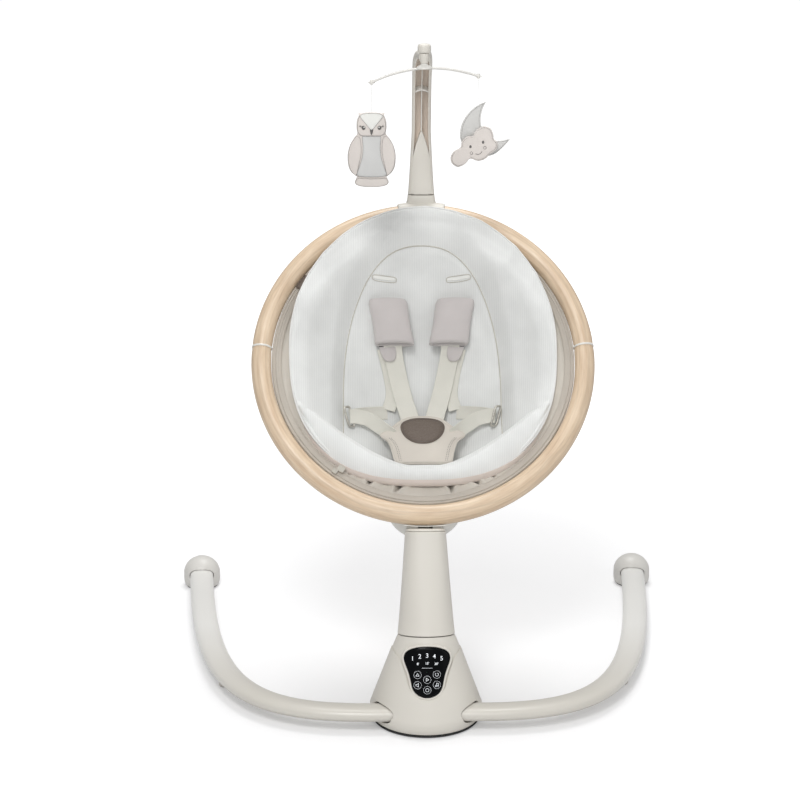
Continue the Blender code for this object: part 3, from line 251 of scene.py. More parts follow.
def make_materials():
    m = MATERIALS
    # The channel's plastic is a warmer, slightly darker copy of the cream plastic: painted shade inside the
    # toy bar's channel.
    for name, colour, roughness in (("cream_plastic", CREAM, 0.42), ("pale_plastic", (224, 222, 216), 0.36),
            ("cap_plastic", (216, 214, 209), 0.38), ("channel_shade_plastic", (222, 208, 195), 0.5),
            ("shadow_plastic", (120, 114, 106), 0.6), ("bearing_plastic", (222, 220, 210), 0.5)):
        m[name] = plastic(name, colour, roughness)

    s = Shader("leg_paint", PALE, 0.33, Coat_Weight=0.25, Coat_Roughness=0.2)
    at = s.place()
    split = s.node("SeparateXYZ")
    s.link(at, split.inputs[0])
    # The colour runs from cream at the front of the legs to pale towards the back: painted shade on the front
    # runs, painted light on the back runs.
    s.tint(split.outputs["Y"], 0.0, 0.26, (212, 208, 199), PALE)
    back = s.math("ADD", split.outputs["Y"], 0.24)
    s.link(back, s.colour.node.inputs["Fac"])
    s.multiply(s.noise(at, 7, 2), 0.3, 0.7, 0.975)
    s.bump(s.noise(at, 700, 3, 0.6), 0.06, 0.0002)
    s.rough(s.noise(at, 25, 3), 0.28, 0.4)
    m["cream_metal"] = s.material

    s = Shader("hoop_wood", (219, 199, 167), 0.42, Coat_Weight=0.18, Coat_Roughness=0.25)
    at = s.place((9.0, 0.9, 1), "UV")
    bend = s.noise(s.place((7.0, 2.0, 1), "UV"), 1.6, 2)
    grain = s.noise(at, 16, 6, 0.62)
    s.tint(grain, 0.34, 0.66, (206, 180, 151), (227, 206, 179))
    rings = s.wave(s.place((5.0, 0.35, 1), "UV"), 6.0, "X", 7.0, 3.0)
    s.multiply(rings, 0.02, 0.22, 0.905)
    s.multiply(s.noise(s.place((160, 5, 1), "UV"), 7, 3, 0.7), 0.36, 0.52, 0.965)
    s.multiply(bend, 0.3, 0.6, 0.97)
    s.bump(grain, 0.12, 0.0002)
    s.rough(grain, 0.5, 0.36)
    m["wood_look"] = s.material

    s = Shader("panel_glass", (6, 7, 9), 0.16, Specular_IOR_Level=0.11)
    s.rough(s.noise(s.place(), 40, 4), 0.13, 0.21)
    m["black_gloss"] = s.material
    s = Shader("panel_ink", (226, 228, 230), 0.5)
    s.tint(s.noise(s.place(), 900, 2), 0.3, 0.7, (216, 218, 220), (240, 242, 244))
    # The print is given a faint blue-white glow: painted light, as the print is no lamp.
    s.main.inputs["Emission Color"].default_value = (0.85, 0.92, 1.0, 1)
    s.main.inputs["Emission Strength"].default_value = 0.22
    m["ink"] = s.material

    s = Shader("rubber", (34, 34, 35), 0.75)
    at = s.place()
    s.tint(s.noise(at, 60, 4), 0.3, 0.7, (26, 26, 27), (42, 42, 42))
    s.bump(s.noise(at, 1500, 3), 0.3, 0.0003)
    m["rubber"] = s.material

    s = Shader("steel", (176, 176, 174), 0.32, 1.0)
    at = s.place((1, 1, 14))
    s.tint(s.noise(at, 120, 3), 0.3, 0.7, (182, 178, 170), (220, 217, 209))
    s.rough(s.noise(at, 200, 3), 0.24, 0.42)
    m["steel"] = s.material

    s = Shader("copper_coil", (178, 108, 66), 0.35, 1.0)
    # The colour darkens between the windings and lightens on their crests: painted shade and painted
    # highlight on the wire.
    lines = s.wave(s.place(), WAVE_PITCH / 0.0006, "Z", 0.1)
    s.tint(lines, 0.1, 0.8, (116, 62, 36), (196, 122, 76))
    s.bump(lines, 0.5, 0.0002)
    m["copper_coil"] = s.material
    s = Shader("circuit_board", (26, 84, 50), 0.5)
    s.tint(s.noise(s.place(), 260, 1), 0.44, 0.52, (22, 72, 44), (60, 128, 84))
    m["circuit_board"] = s.material

    cloths = (("sling_fabric", (205, 199, 189), 1.1, 0.25, 0.5, 0.2, "twill"),
        ("zip_tape", (194, 186, 175), 1, 0.3, 0.6, 0.15, "twill"),
        ("piping", (196, 192, 182), 1.2, 0.2, 0.5, 0.15, "plush"),
        ("liner_fabric", (227, 228, 226), 2.6, 0.35, 0.35, 0.2, "rib"),
        ("lip_fabric", (229, 229, 227), 1, 0.2, 0.25, 0.2, "plain"),
        ("under_fabric", (226, 216, 209), 1.2, 0.2, 0.4, 0.2, "twill"),
        ("pad_fabric", (201, 195, 193), 0.9, 0.2, 0.4, 0.35, "plain"),
        ("webbing", (228, 226, 216), 1.3, 0.4, 0.7, 0.1, "plain"),
        ("buckle_cover", (211, 204, 194), 1.2, 0.25, 0.5, 0.25, "twill"),
        ("toy_grey", (213, 212, 209), 0.9, 0.4, 0.7, 0.5, "plush"),
        ("toy_belly", (214, 214, 212), 0.7, 0.5, 0.9, 0.5, "plush"),
        ("toy_blush", (223, 216, 210), 0.8, 0.3, 0.6, 0.5, "plush"),
        ("toy_white", (238, 238, 233), 0.8, 0.3, 0.6, 0.5, "plush"),
        ("stitch", (104, 102, 100), 0.5, 0.2, 0.6, 0.1, "plush"),
        ("pale_stitch", (196, 190, 180), 0.5, 0.2, 0.6, 0.1, "plush"),
        ("thread", (236, 236, 232), 0.6, 0.1, 0.5, 0.1, "plush"))
    for name, colour, pitch, depth, strength, sheen, knit in cloths:
        m[name] = fabric(name, colour, pitch / 1000, depth / 1000, strength, sheen, knit)

    s = Shader("badge_leather", (126, 105, 88), 0.55)
    at = s.place()
    s.tint(s.noise(at, 420, 3, 0.5), 0.3, 0.7, (92, 80, 71), (106, 94, 84))
    grain = s.node("TexVoronoi", feature="DISTANCE_TO_EDGE", Scale=900)
    s.link(at, grain.inputs["Vector"])
    s.bump(grain.outputs["Distance"], 0.5, 0.0003)
    m["badge_leather"] = s.material


# ---------------------------------------------------------------- mesh tools
def added(name, data):
    made = bpy.data.objects.new(name, data)
    bpy.context.scene.collection.objects.link(made)
    return made


def finish_mesh(name, mesh, material, smooth=True, angle=40):
    bm = bmesh.new()
    bm.from_mesh(mesh)
    bmesh.ops.recalc_face_normals(bm, faces=bm.faces)
    bm.to_mesh(mesh)
    bm.free()
    if smooth:
        mesh.shade_smooth()
        mesh.set_sharp_from_angle(angle=radians(angle))
    mesh.materials.append(MATERIALS[material])
    return added(name, mesh)


def grid(name, rows, material, wrap=True, caps=True, close_rows=False, angle=40):
    """A mesh through rows of points. wrap joins each row's ends, caps closes the first and last row,
    and close_rows joins the last row to the first. Its UV map is in metres: u along the rows' points
    and v from row to row."""
    count = len(rows[0])
    verts = [tuple(p + TO_ROW) for row in rows for p in row]
    faces, uvs = [], []
    middle = rows[len(rows) // 2]
    us = [0.0]
    for j in range(count):
        us.append(us[-1] + (middle[(j + 1) % count] - middle[j]).length)
    some = range(0, count, max(1, count // 8))
    vs = [0.0]
    for i in range(len(rows)):
        nxt = rows[(i + 1) % len(rows)]
        vs.append(vs[-1] + sum((nxt[j] - rows[i][j]).length for j in some) / len(some))
    for i in range(len(rows) if close_rows else len(rows) - 1):
        for j in range(count if wrap else count - 1):
            k, n = (j + 1) % count, (i + 1) % len(rows)
            faces.append((i * count + j, i * count + k, n * count + k, n * count + j))
            uvs.append(((us[j], vs[i]), (us[j + 1], vs[i]), (us[j + 1], vs[i + 1]), (us[j], vs[i + 1])))
    if caps and not close_rows:
        faces.append(tuple(reversed(range(count))))
        faces.append(tuple((len(rows) - 1) * count + j for j in range(count)))
        uvs.append(tuple((us[j], 0) for j in reversed(range(count))))
        uvs.append(tuple((us[j], 0) for j in range(count)))
    return from_faces(name, verts, faces, uvs, material, angle=angle)


def from_faces(name, verts, faces, uvs, material, smooth=True, angle=40):
    """A mesh from points and faces. uvs is one list of (u, v) for each face, or None."""
    bm = bmesh.new()
    points = [bm.verts.new(v) for v in verts]
    layer = bm.loops.layers.uv.new("UVMap")
    for face, corners in zip(faces, uvs or [None] * len(faces)):
        made = bm.faces.new([points[i] for i in face])
        for loop, corner in zip(made.loops, corners or ()):
            loop[layer].uv = corner
    mesh = bpy.data.meshes.new(name)
    bm.to_mesh(mesh)
    bm.free()
    return finish_mesh(name, mesh, material, smooth, angle)


def turned(name, profile, at, material, axis=(0, 0, 1), sides=64, closed=False):
    """A solid of revolution. profile is (radius, height) from end to end, or a closed outline."""
    turn = vec(0, 0, 1).rotation_difference(Vector(axis)).to_matrix()
    rows = [[Vector(at) + turn @ vec(x, y, height) for x, y in round_at(0, 0, radius, radius, sides)]
        for radius, height in profile]
    return grid(name, rows, material, caps=not closed, close_rows=closed)


def around(count):
    return [2 * pi * i / count for i in range(count)]


def squared(a, half_x, half_y, power):
    """The point at an angle on a superellipse."""
    c, s = cos(a), sin(a)
    return (half_x * copysign(abs(c) ** (2 / power), c), half_y * copysign(abs(s) ** (2 / power), s))


def oval(half_x, half_y, sides=32, power=2.0):
    return [squared(a, half_x, half_y, power) for a in around(sides)]


def round_at(x, y, half_x, half_y, sides):
    return [(x + half_x * cos(a), y + half_y * sin(a)) for a in around(sides)]


def mm(*rows):
    return [tuple(v / 1000 for v in row) for row in rows]


def swept(centres, section, up=(0, 0, 1), closed=False):
    """Rows of a section of (sideways, up) points along centres; with closed, they run round a loop."""
    rows = []
    last = len(centres) - 1
    for i, centre in enumerate(centres):
        after, before = (i + 1) % (last + 1), i - 1
        if not closed:
            after, before = min(i + 1, last), max(before, 0)
        along = (centres[after] - centres[before]).normalized()
        side = along.cross(Vector(up)).normalized()
        lift = side.cross(along)
        rows.append([centre + side * a + lift * b for a, b in section])
    return rows


def rod(name, centres, radius, material, up=(0.13, 0.31, 0.94), sides=12, closed=False):
    """A round bead or cord along points; with closed, round a loop."""
    rows = swept(centres, oval(radius, radius, sides), up, closed)
    return grid(name, rows, material, caps=not closed, close_rows=closed)


def bezier(points, share):
    a, b, c, d = (Vector(p) for p in points)
    k = 1 - share
    return a * k**3 + b * (3 * k * k * share) + c * (3 * k * share**2) + d * share**3


def smooth_line(points, steps):
    """A Catmull-Rom curve through points."""
    points = [Vector(p) for p in points]
    ends = [points[0] * 2 - points[1], *points, points[-1] * 2 - points[-2]]
    line = []
    for a, b, c, d in zip(ends, ends[1:], ends[2:], ends[3:]):
        for i in range(steps):
            t = i / steps
            line.append(0.5 * (b * 2 + (c - a) * t + (a * 2 - b * 5 + c * 4 - d) * t**2
                + (b * 3 - a - c * 3 + d) * t**3))
    line.append(points[-1].copy())
    return line


def along_line(line, share):
    """The point at a share of a line's length."""
    lengths = [(b - a).length for a, b in zip(line, line[1:])]
    left = max(0.0, min(1.0, share)) * sum(lengths)
    for a, b, length in zip(line, line[1:], lengths):
        if left <= length:
            return a.lerp(b, left / length if length else 0)
        left -= length
    return line[-1].copy()


def modifier(obj, kind, **settings):
    made = obj.modifiers.new(kind.title(), kind)
    for key, value in settings.items():
        setattr(made, key, value)
    return made


def bevel(obj, width, segments, angle):
    modifier(obj, "BEVEL", width=width, segments=segments, limit_method="ANGLE", angle_limit=radians(angle))


def cut(obj, *cutters, operation="DIFFERENCE"):
    """Applies Booleans at once and removes the cutters."""
    for other in cutters:
        change = modifier(obj, "BOOLEAN", operation=operation, solver="EXACT", object=other)
        graph = bpy.context.evaluated_depsgraph_get()
        mesh = bpy.data.meshes.new_from_object(obj.evaluated_get(graph))
        obj.modifiers.remove(change)
        obj.data = mesh
    for other in cutters:
        bpy.data.objects.remove(other)
    obj.data.shade_smooth()
    obj.data.set_sharp_from_angle(angle=radians(30))
    return obj


SLOTS = {"cap_plastic": "cream_plastic", "pale_plastic": "cream_plastic", "channel_shade_plastic": "cream_plastic",
    "ink": "black_gloss", "piping": "liner_fabric", "lip_fabric": "liner_fabric",
    "under_fabric": "liner_fabric", "toy_belly": "toy_blush", "toy_white": "toy_blush", "stitch": "toy_blush",
    "pale_stitch": "webbing"}


def put(obj, body, *nodes, slot="of the material"):
    """The piece rides on a body and stands for CAD nodes, which it hides; a slot is looked up from its
    material but not kept.
    """
    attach(obj, body)
    if nodes:
        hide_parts(*nodes)
    if slot == "of the material":
        slot = next(key for key, made in MATERIALS.items() if made == obj.data.materials[0])
        slot = SLOTS.get(slot, slot)
    return obj


def in_hoop(x, s, h):
    return HOOP_CENTRE + vec(x, 0, 0) + HOOP_UP * s + HOOP_OUT * h


def on_hoop(angle, radius=HOOP_RADIUS, h=0.0):
    return in_hoop(radius * cos(angle), radius * sin(angle), h)


def axis_point(distance):
    return SEAM + SWING_AXIS * distance


# ---------------------------------------------------------------- floor base
def leg_point(side, share):
    if share < 0.12:
        x, y = 0.022 + (LEG_ROUTE[0][0] - 0.022) * share / 0.12, LEG_ROUTE[0][1]
    else:
        x, y, _ = bezier([(*p, 0) for p in LEG_ROUTE], (share - 0.12) / 0.88)
    return vec(side * x, y, LEG_Z)


def leg_section():
    """A flattened tube with a faint seam low on each side."""
    points = []
    for a in around(56):
        x, y = squared(a, LEG_WIDTH / 2, LEG_HEIGHT / 2, 2.35)
        notch = 1 - 0.022 * exp(-((degrees(a) - 334) / 3.5) ** 2)
        notch -= 0.022 * exp(-((degrees(a) - 206) / 3.5) ** 2)
        points.append((x * notch, y * notch))
    return points


def make_base():
    for side, word in SIDES:
        line = [leg_point(side, i / 90) for i in range(91)]
        leg = grid("floor_leg_" + word, swept(line, leg_section()), "cream_metal", angle=60)
        put(leg, "base", "leg_" + word)

        r, top = 0.03, 0.05
        profile = [(r * 0.78, 0.0014), (r * 0.86, 0.0014), (r * 0.93, 0.003), (r * 0.985, 0.008), (r, 0.014),
            (r * 0.995, 0.02)]
        profile += [(r * cos(a), 0.022 + (top - 0.022) * sin(a))
            for a in (radians(d) for d in range(8, 90, 6))]
        profile.append((0.0006, top))
        at = vec(side * END_FOOT.x, END_FOOT.y, 0)
        foot = turned("end_cap_" + word, profile, at, "cap_plastic", sides=72)
        tip = leg_point(side, 1.0)
        back = (tip - leg_point(side, 0.95)).normalized()
        pocket_line = [leg_point(side, 0.9 + 0.02 * i) for i in range(6)] + [tip + back * 0.012]
        pocket = grid("pocket", swept(pocket_line, [(a * 1.055, b * 1.09) for a, b in leg_section()]),
            "shadow_plastic")
        cut(foot, pocket)
        bevel(foot, 0.0009, 3, 38)
        put(foot, "base", "end_foot_" + word)
        sole = [(r * 0.72, 0.0), (r * 0.84, 0.0), (r * 0.86, 0.0006), (r * 0.86, 0.003), (r * 0.2, 0.003),
            (r * 0.2, 0.001), (r * 0.7, 0.001)]
        sole = turned("end_cap_sole_" + word, sole, at, "rubber", sides=64, closed=True)
        put(sole, "base")
        middle = leg_point(side, 0.62)
        pad = mm((7, 0), (8, 0.4), (9.2, 2), (9.5, 4), (9.2, 13), (7, 13.6))
        put(turned("mid_pad_" + word, pad, (middle.x, middle.y, 0), "cream_plastic", sides=40), "base",
            "mid_foot_" + word, slot="rubber")

    rubber = mm((60, 1.2), (66, 0), (73.5, 0), (75.2, 0.8), (76.5, 2.2), (76.5, 4.2), (60, 4.2))
    put(turned("hub_floor_ring", rubber, (0, 0, 0), "rubber", sides=96, closed=True), "base",
        "hub_rubber_pad")
    pan = mm((0.6, 2.2), (59, 2.2), (59.8, 4.5), (74, 4.5), (74, 8.5), (0.6, 8.5))
    pan = turned("hub_pan", pan, (0, 0, 0), "cream_plastic", sides=96)
    put(pan, "base", "hub_base_pan")
    # Dark rubber rods stand for the pan's vent slits: painted shade in the slits.
    for i in range(7):
        slit = rod(f"hub_pan_vent_{i + 1}", [vec(0.03 + 0.004 * i - 0.012, -0.012 + 0.001 * i, 0.0021),
            vec(0.03 + 0.004 * i - 0.012, 0.012 - 0.001 * i, 0.0021)], 0.0009, "rubber")
        put(slit, "base")
    for i in range(5):
        a = pi / 2 + 2 * pi * i / 5
        screw = mm((3.4, 1), (3.6, 1.6), (3.6, 2.4), (1.2, 2.4), (1.2, 1.4), (2.8, 1))
        at = (0.05 * cos(a), 0.05 * sin(a), 0)
        put(turned(f"hub_pan_screw_{i + 1}", screw, at, "steel", sides=24, closed=True), "base")


def hub_ring(radius, drop, sides=128):
    points = round_at(0, 0, radius, radius, sides)
    level = [vec(x, y, HUB_WIDEST_Z) for x, y in points]
    turn = vec(0, 0, 1).rotation_difference(SWING_AXIS).to_matrix()
    rim = [SEAM + turn @ vec(x, y, 0) for x, y in points]
    return [a.lerp(b, drop) for a, b in zip(level, rim)]


def hub_radius(drop):
    return HUB_RADIUS - 0.0005 + (SEAM_RADIUS - HUB_RADIUS + 0.0005) * drop


def hub_place(u, v, w):
    fall = PANEL_CURVE - sqrt(PANEL_CURVE**2 - min(u * u, 0.006))
    return PANEL_CENTRE + vec(u, 0, 0) + PANEL_UP * v + PANEL_OUT * (w - fall)


def panel_outline(grow=0.0):
    """The glass: a wide rounded head over a narrower foot."""
    half = ((0.985, 0.01), (0.94, 0.0182), (0.86, 0.0254), (0.75, 0.0298), (0.6, 0.0316), (0.44, 0.0311),
        (0.25, 0.0288), (0.05, 0.0261), (-0.15, 0.024), (-0.35, 0.0224), (-0.55, 0.021), (-0.7, 0.019),
        (-0.84, 0.0152), (-0.94, 0.0098), (-0.988, 0.0045))
    right = [vec(u, v * PANEL_HALF_HEIGHT, 0) for v, u in half]
    ring = [vec(0, PANEL_HALF_HEIGHT, 0), *right, vec(0, -PANEL_HALF_HEIGHT, 0),
        *[vec(-p.x, p.y, 0) for p in right[::-1]]]
    line = smooth_line(ring + ring[:1], 3)[:-1]
    points = []
    for i, p in enumerate(line):
        along = (line[(i + 1) % len(line)] - line[i - 1]).normalized()
        points.append((p.x - along.y * grow, p.y + along.x * grow))
    return points[::-1]


def glass_rows(shares, lift):
    return [[hub_place(u * k, v * k, lift(k)) for u, v in panel_outline()] for k in shares]


def make_hub():
    sides = 128
    lower = [[vec(p.x * scale, p.y * scale, z) for p in hub_ring(HUB_RADIUS - 0.0004, 0, sides)]
        for scale, z in ((0.938, 0.0046), (0.958, 0.0052), (0.978, 0.008), (0.992, 0.0125), (0.999, 0.0175))]
    drops = (0.0, 0.02, 0.1, 0.2, 0.3, 0.4, 0.5, 0.6, 0.7, 0.78, 0.806)
    cone = [hub_ring(hub_radius(d) + 0.0014 * d - (0.0004 if d == 0.02 else 0), d, sides) for d in drops]
    tuck = [hub_ring(hub_radius(0.81) + 0.0004, 0.811, sides),
        hub_ring(hub_radius(0.81) - 0.0022, 0.811, sides)]
    inner = [hub_ring(hub_radius(d) - 0.0032, d, sides) for d in (0.79, 0.5, 0.0)]
    inner.append([vec(p.x * 0.938, p.y * 0.938, 0.0046) for p in hub_ring(HUB_RADIUS - 0.0035, 0, sides)])
    shell = grid("hub_cone", lower + cone + tuck + inner, "cream_plastic", close_rows=True, angle=50)
    cutters = []
    for side in (-1, 1):
        line = [vec(side * 0.012, LEG_Y, LEG_Z), *[leg_point(side, 0.02 * i) for i in range(4, 14)]]
        cutters.append(grid("slot", swept(line, oval(LEG_WIDTH / 2 + 0.0022, LEG_HEIGHT / 2 + 0.002, 48,
            2.5)), "shadow_plastic"))
    swoop = mm((0, -38.5), (8, -37.2), (15, -33.5), (22.2, -25.8), (26.8, -16), (29.8, -4.5), (33.5, 6.9),
        (37.8, 17.2), (44.2, 25.6), (52, 32.5), (64, 40), (64, 80))
    right = smooth_line([vec(u, v, 0) for u, v in swoop[:-1]], 4) + [Vector((*swoop[-1], 0))]
    wedge = right + [vec(-p.x, p.y, 0) for p in right[:0:-1]]
    cutters.append(grid("wedge", [[PANEL_CENTRE + vec(p.x, 0, 0) + PANEL_UP * p.y + PANEL_OUT * w
        for p in wedge] for w in (-0.054, 0.04)], "shadow_plastic"))
    cutters.append(turned("jack_hole", [(0.0062, 0), (0.0062, 0.03)], (0, 0.058, 0.034), "rubber", (0, 1, 0),
        48))
    cut(shell, *cutters)
    bevel(shell, 0.0008, 2, 50)
    put(shell, "base", "hub_shell")

    # The front fascia and neck are one piece, set a little below the shell's edge.
    def inset(d):
        return hub_radius(d) - 0.0002 - 0.0016 * (1 - smooth_step(0.3, 0.85, d))

    neck = [hub_ring(inset(d), d, sides) for d in (0.22, 0.3, 0.4, 0.5, 0.6, 0.7, 0.78, 0.84, 0.9, 0.94)]
    neck += [hub_ring(SEAM_RADIUS - 0.0001, 0.985, sides), hub_ring(SEAM_RADIUS - 0.0006, 0.994, sides),
        hub_ring(SEAM_RADIUS - 0.003, 0.995, sides)]
    neck += [hub_ring(hub_radius(d) - 0.0035, d, sides) for d in (0.9, 0.6, 0.22)]
    neck = grid("hub_fascia", neck, "cream_plastic", close_rows=True, angle=50)
    hole = grid("hole", [[hub_place(u, v, w) for u, v in panel_outline(0.0024)] for w in (-0.03, 0.03)],
        "rubber")
    cut(neck, hole)
    put(neck, "base", "hub_collar")

    # The bezel: a soft raised rim round the glass.
    rim = [[hub_place(u, v, w) for u, v in panel_outline(grow)]
        for grow, w in mm((3.8, -9), (3.8, -1.2), (3.4, 0), (2.6, 0.8), (1.8, 0.9), (1, 0.5), (0.6, -0.6),
        (0.5, -9))]
    bezel = grid("panel_rim", rim, "cream_plastic", close_rows=True, angle=60)
    put(bezel, "base", "panel_bezel")
    shares = [1.0, 0.99, 0.9, 0.75, 0.6, 0.45, 0.3, 0.15, 0.03]
    front = glass_rows(shares, lambda k: -0.0004 if k == 1.0 else 0.0)
    back = glass_rows(shares[::-1], lambda k: -0.0018)
    glass = grid("panel_glass", front + back, "black_gloss", caps=False, close_rows=True, angle=60)
    put(glass, "base", "control_panel")
    make_symbols()
    inlet = mm((1.8, 9.5), (2.6, 14), (5.2, 14.2), (5.6, 13.6), (5.6, 0), (1.8, 0))
    put(turned("power_socket", inlet, (0, 0.064, 0.034), "rubber", (0, 1, 0), 40, closed=True), "base",
        "power_inlet")


def ink_line(points, width):
    """A flat printed stroke on the glass, as faces of (u, v) quads."""
    quads = []
    for a, b in zip(points, points[1:]):
        d = Vector((b[0] - a[0], b[1] - a[1]))
        if d.length < 1e-7:
            continue
        n = Vector((-d.y, d.x)).normalized() * width / 2
        e = d.normalized() * width * 0.3
        quads.append([(a[0] - e.x + n.x, a[1] - e.y + n.y), (a[0] - e.x - n.x, a[1] - e.y - n.y),
            (b[0] + e.x - n.x, b[1] + e.y - n.y), (b[0] + e.x + n.x, b[1] + e.y + n.y)])
    return quads


def circle(x, y, r, start=0, end=360):
    steps = 24
    return [(x + r * cos(radians(start + (end - start) * i / steps)),
        y + r * sin(radians(start + (end - start) * i / steps))) for i in range(steps + 1)]


def make_symbols():
    """Printed numbers 1 to 5, timer numbers, and simple touch symbols in circles."""
    for number in range(1, 6):
        make_number(f"panel_number_{number}", str(number), 0.0101 * (number - 3),
            0.023 - 0.001 * (number - 3) ** 2, 0.0064, 0.00004)
    for i, word in enumerate(("8", "15", "30")):
        make_number(f"panel_timer_{i + 1}", word + "'", 0.0128 * (i - 1), 0.0124 - (0.0008 if i != 1 else 0),
            0.0034)
    quads = ink_line([(-0.0072 + 0.0018 * i, 0.006) for i in range(9)], 0.0004)
    spots = mm((-13.4, -3.4), (13.4, -3), (0, -10), (-13.4, -17.6), (13.4, -17.2), (0, -24.4))
    for x, y in spots:
        quads += ink_line(circle(x, y, 0.0053), 0.00028)
    icons = (mm((-2.2, -1.6), (0, 2), (2.2, -1.6), (-2.2, -1.6)), circle(0, 0, 0.0022, 120, 420)
        + [(0.0011, 0.0019)], mm((-1.4, -2.2), (-1.4, 2.2), (2.2, 0), (-1.4, -2.2)),
        mm((-2.4, -1), (-2.4, 1), (-0.8, 1), (1.2, 2.6), (1.2, -2.6), (-0.8, -1), (-2.4, -1)),
        circle(-0.0014, -0.0016, 0.0009) + mm((-0.5, -1.4), (-0.5, 2.4), (2.2, 1.7), (2.2, -1.2))
        + circle(0.0014, -0.0013, 0.0008), circle(0, 0, 0.0023))
    for (x, y), icon in zip(spots, icons):
        quads += ink_line([(x + u, y + v) for u, v in icon], 0.00055)
    verts, faces = [], []
    for quad in quads:
        faces.append(tuple(range(len(verts), len(verts) + 4)))
        verts += [tuple(hub_place(u, v, INK_LIFT) + TO_ROW) for u, v in quad]
    put(from_faces("panel_symbols", verts, faces, None, "ink", smooth=False), "base")


def make_number(name, word, u, v, height, bold=0.0001):
    """Generic digits laid on the curved glass."""
    curve = bpy.data.curves.new(name, "FONT")
    curve.body, curve.size, curve.offset = word, height * 1.35, bold
    curve.align_x, curve.align_y = "CENTER", "CENTER"
    text = added(name + "_text", curve)
    graph = bpy.context.evaluated_depsgraph_get()
    mesh = bpy.data.meshes.new_from_object(text.evaluated_get(graph))
    bpy.data.objects.remove(text)
    for vertex in mesh.vertices:
        vertex.co = hub_place(u + vertex.co.x, v + vertex.co.y, INK_LIFT) + TO_ROW
    mesh.name = name
    put(finish_mesh(name, mesh, "ink", smooth=False), "base")


# ---------------------------------------------------------------- swinging arm
def post_frame(t):
    bend = t * t * (3 - 2 * t)
    low, top = axis_point(0.0007), vec(0, 0.0665, 0.255)
    centre = low.lerp(top, t) + vec(0, -0.004 * sin(pi * t), 0)
    half_x = SEAM_RADIUS + (0.029 - SEAM_RADIUS) * t**0.9
    half_y = SEAM_RADIUS + (0.057 - SEAM_RADIUS) * t**1.4
    lean = SWING_LEAN + (radians(18) - SWING_LEAN) * bend
    return centre, half_x, half_y, Matrix.Rotation(-lean, 3, "X"), 2 + 1.6 * bend


def post_point(t, angle, inset=0.0):
    centre, half_x, half_y, turn, power = post_frame(t)
    return centre + turn @ Vector((*squared(angle, half_x - inset, half_y - inset, power), 0))


def dome_room():
    """The room that the covers leave round the pivot's dome."""
    clear = 0.0014
    profile = [((DOME_RADIUS + clear) * sin(a), -(DOME_HALF_LENGTH + clear) * cos(a))
        for a in (pi * (0.02 + 0.96 * i / 24) for i in range(25))]
    return turned("cutter", profile, PIVOT, "cream_plastic", (1, 0, 0), 72)


def make_post():
    for word, start, end, inset in (("front", 181.5, 358.5, 0.0), ("rear", 3.0, 177.0, 0.0007)):
        angles = [radians(start + (end - start) * i / 56) for i in range(57)]
        loop = [(a, inset) for a in angles] + [(a, inset + 0.0024) for a in angles[::-1]]
        rows = [[post_point(t, a, depth) for a, depth in loop]
            for t in [0.0, 0.006] + [i / 30 for i in range(1, 31)]]
        cover = grid("post_" + word, rows, "cream_plastic", angle=50)
        cut(cover, dome_room())
        bevel(cover, 0.0007, 2, 50)
        put(cover, "swing_arm", "post_cover_" + word)
    # The covers' closed top, a ledge that turns in to the pivot housing.
    rows = [[post_point(t, 2 * pi * i / 96, inset) for i in range(96)]
        for t, inset in ((0.962, 0.0026), (1.0, 0.0026), (1.004, 0.0016), (1.01, 0.001), (1.018, 0.0014),
        (1.024, 0.003), (1.027, 0.006))]
    ledge = grid("post_top", rows, "cream_plastic", angle=60)
    cut(ledge, dome_room(), grid("clear", tube_rows(radians(240), radians(300), 40, TUBE_RADIUS + 0.0022, 40),
        "cream_plastic"))
    put(ledge, "swing_arm")
    # A strip closes the gap between the covers on each side; its paler colour is a painted highlight along
    # the post's sides.
    for side, centre in ((1, 0.0), (-1, 180.0)):
        rows = []
        for i in range(29):
            t = 0.01 + 0.86 * i / 28
            rows.append([post_point(t, radians(centre + side * a), depth)
                for a, depth in ((-3.2, 0.003), (4.6, 0.003), (4.6, 0.0011), (-3.2, 0.0011))])
        strip = grid("post_side_strip_" + ("right" if side > 0 else "left"), rows, "pale_plastic", angle=50)
        put(strip, "swing_arm")


def dome_radius(share):
    """The pivot dome's outline with thin panel lines."""
    a = pi * share
    radius = DOME_RADIUS * sin(a)
    x = -DOME_HALF_LENGTH * cos(a)
    for line in (-0.024, 0.024):
        radius -= 0.0009 * exp(-((x - line) / 0.0007) ** 2)
    return max(radius, 0.0004), x


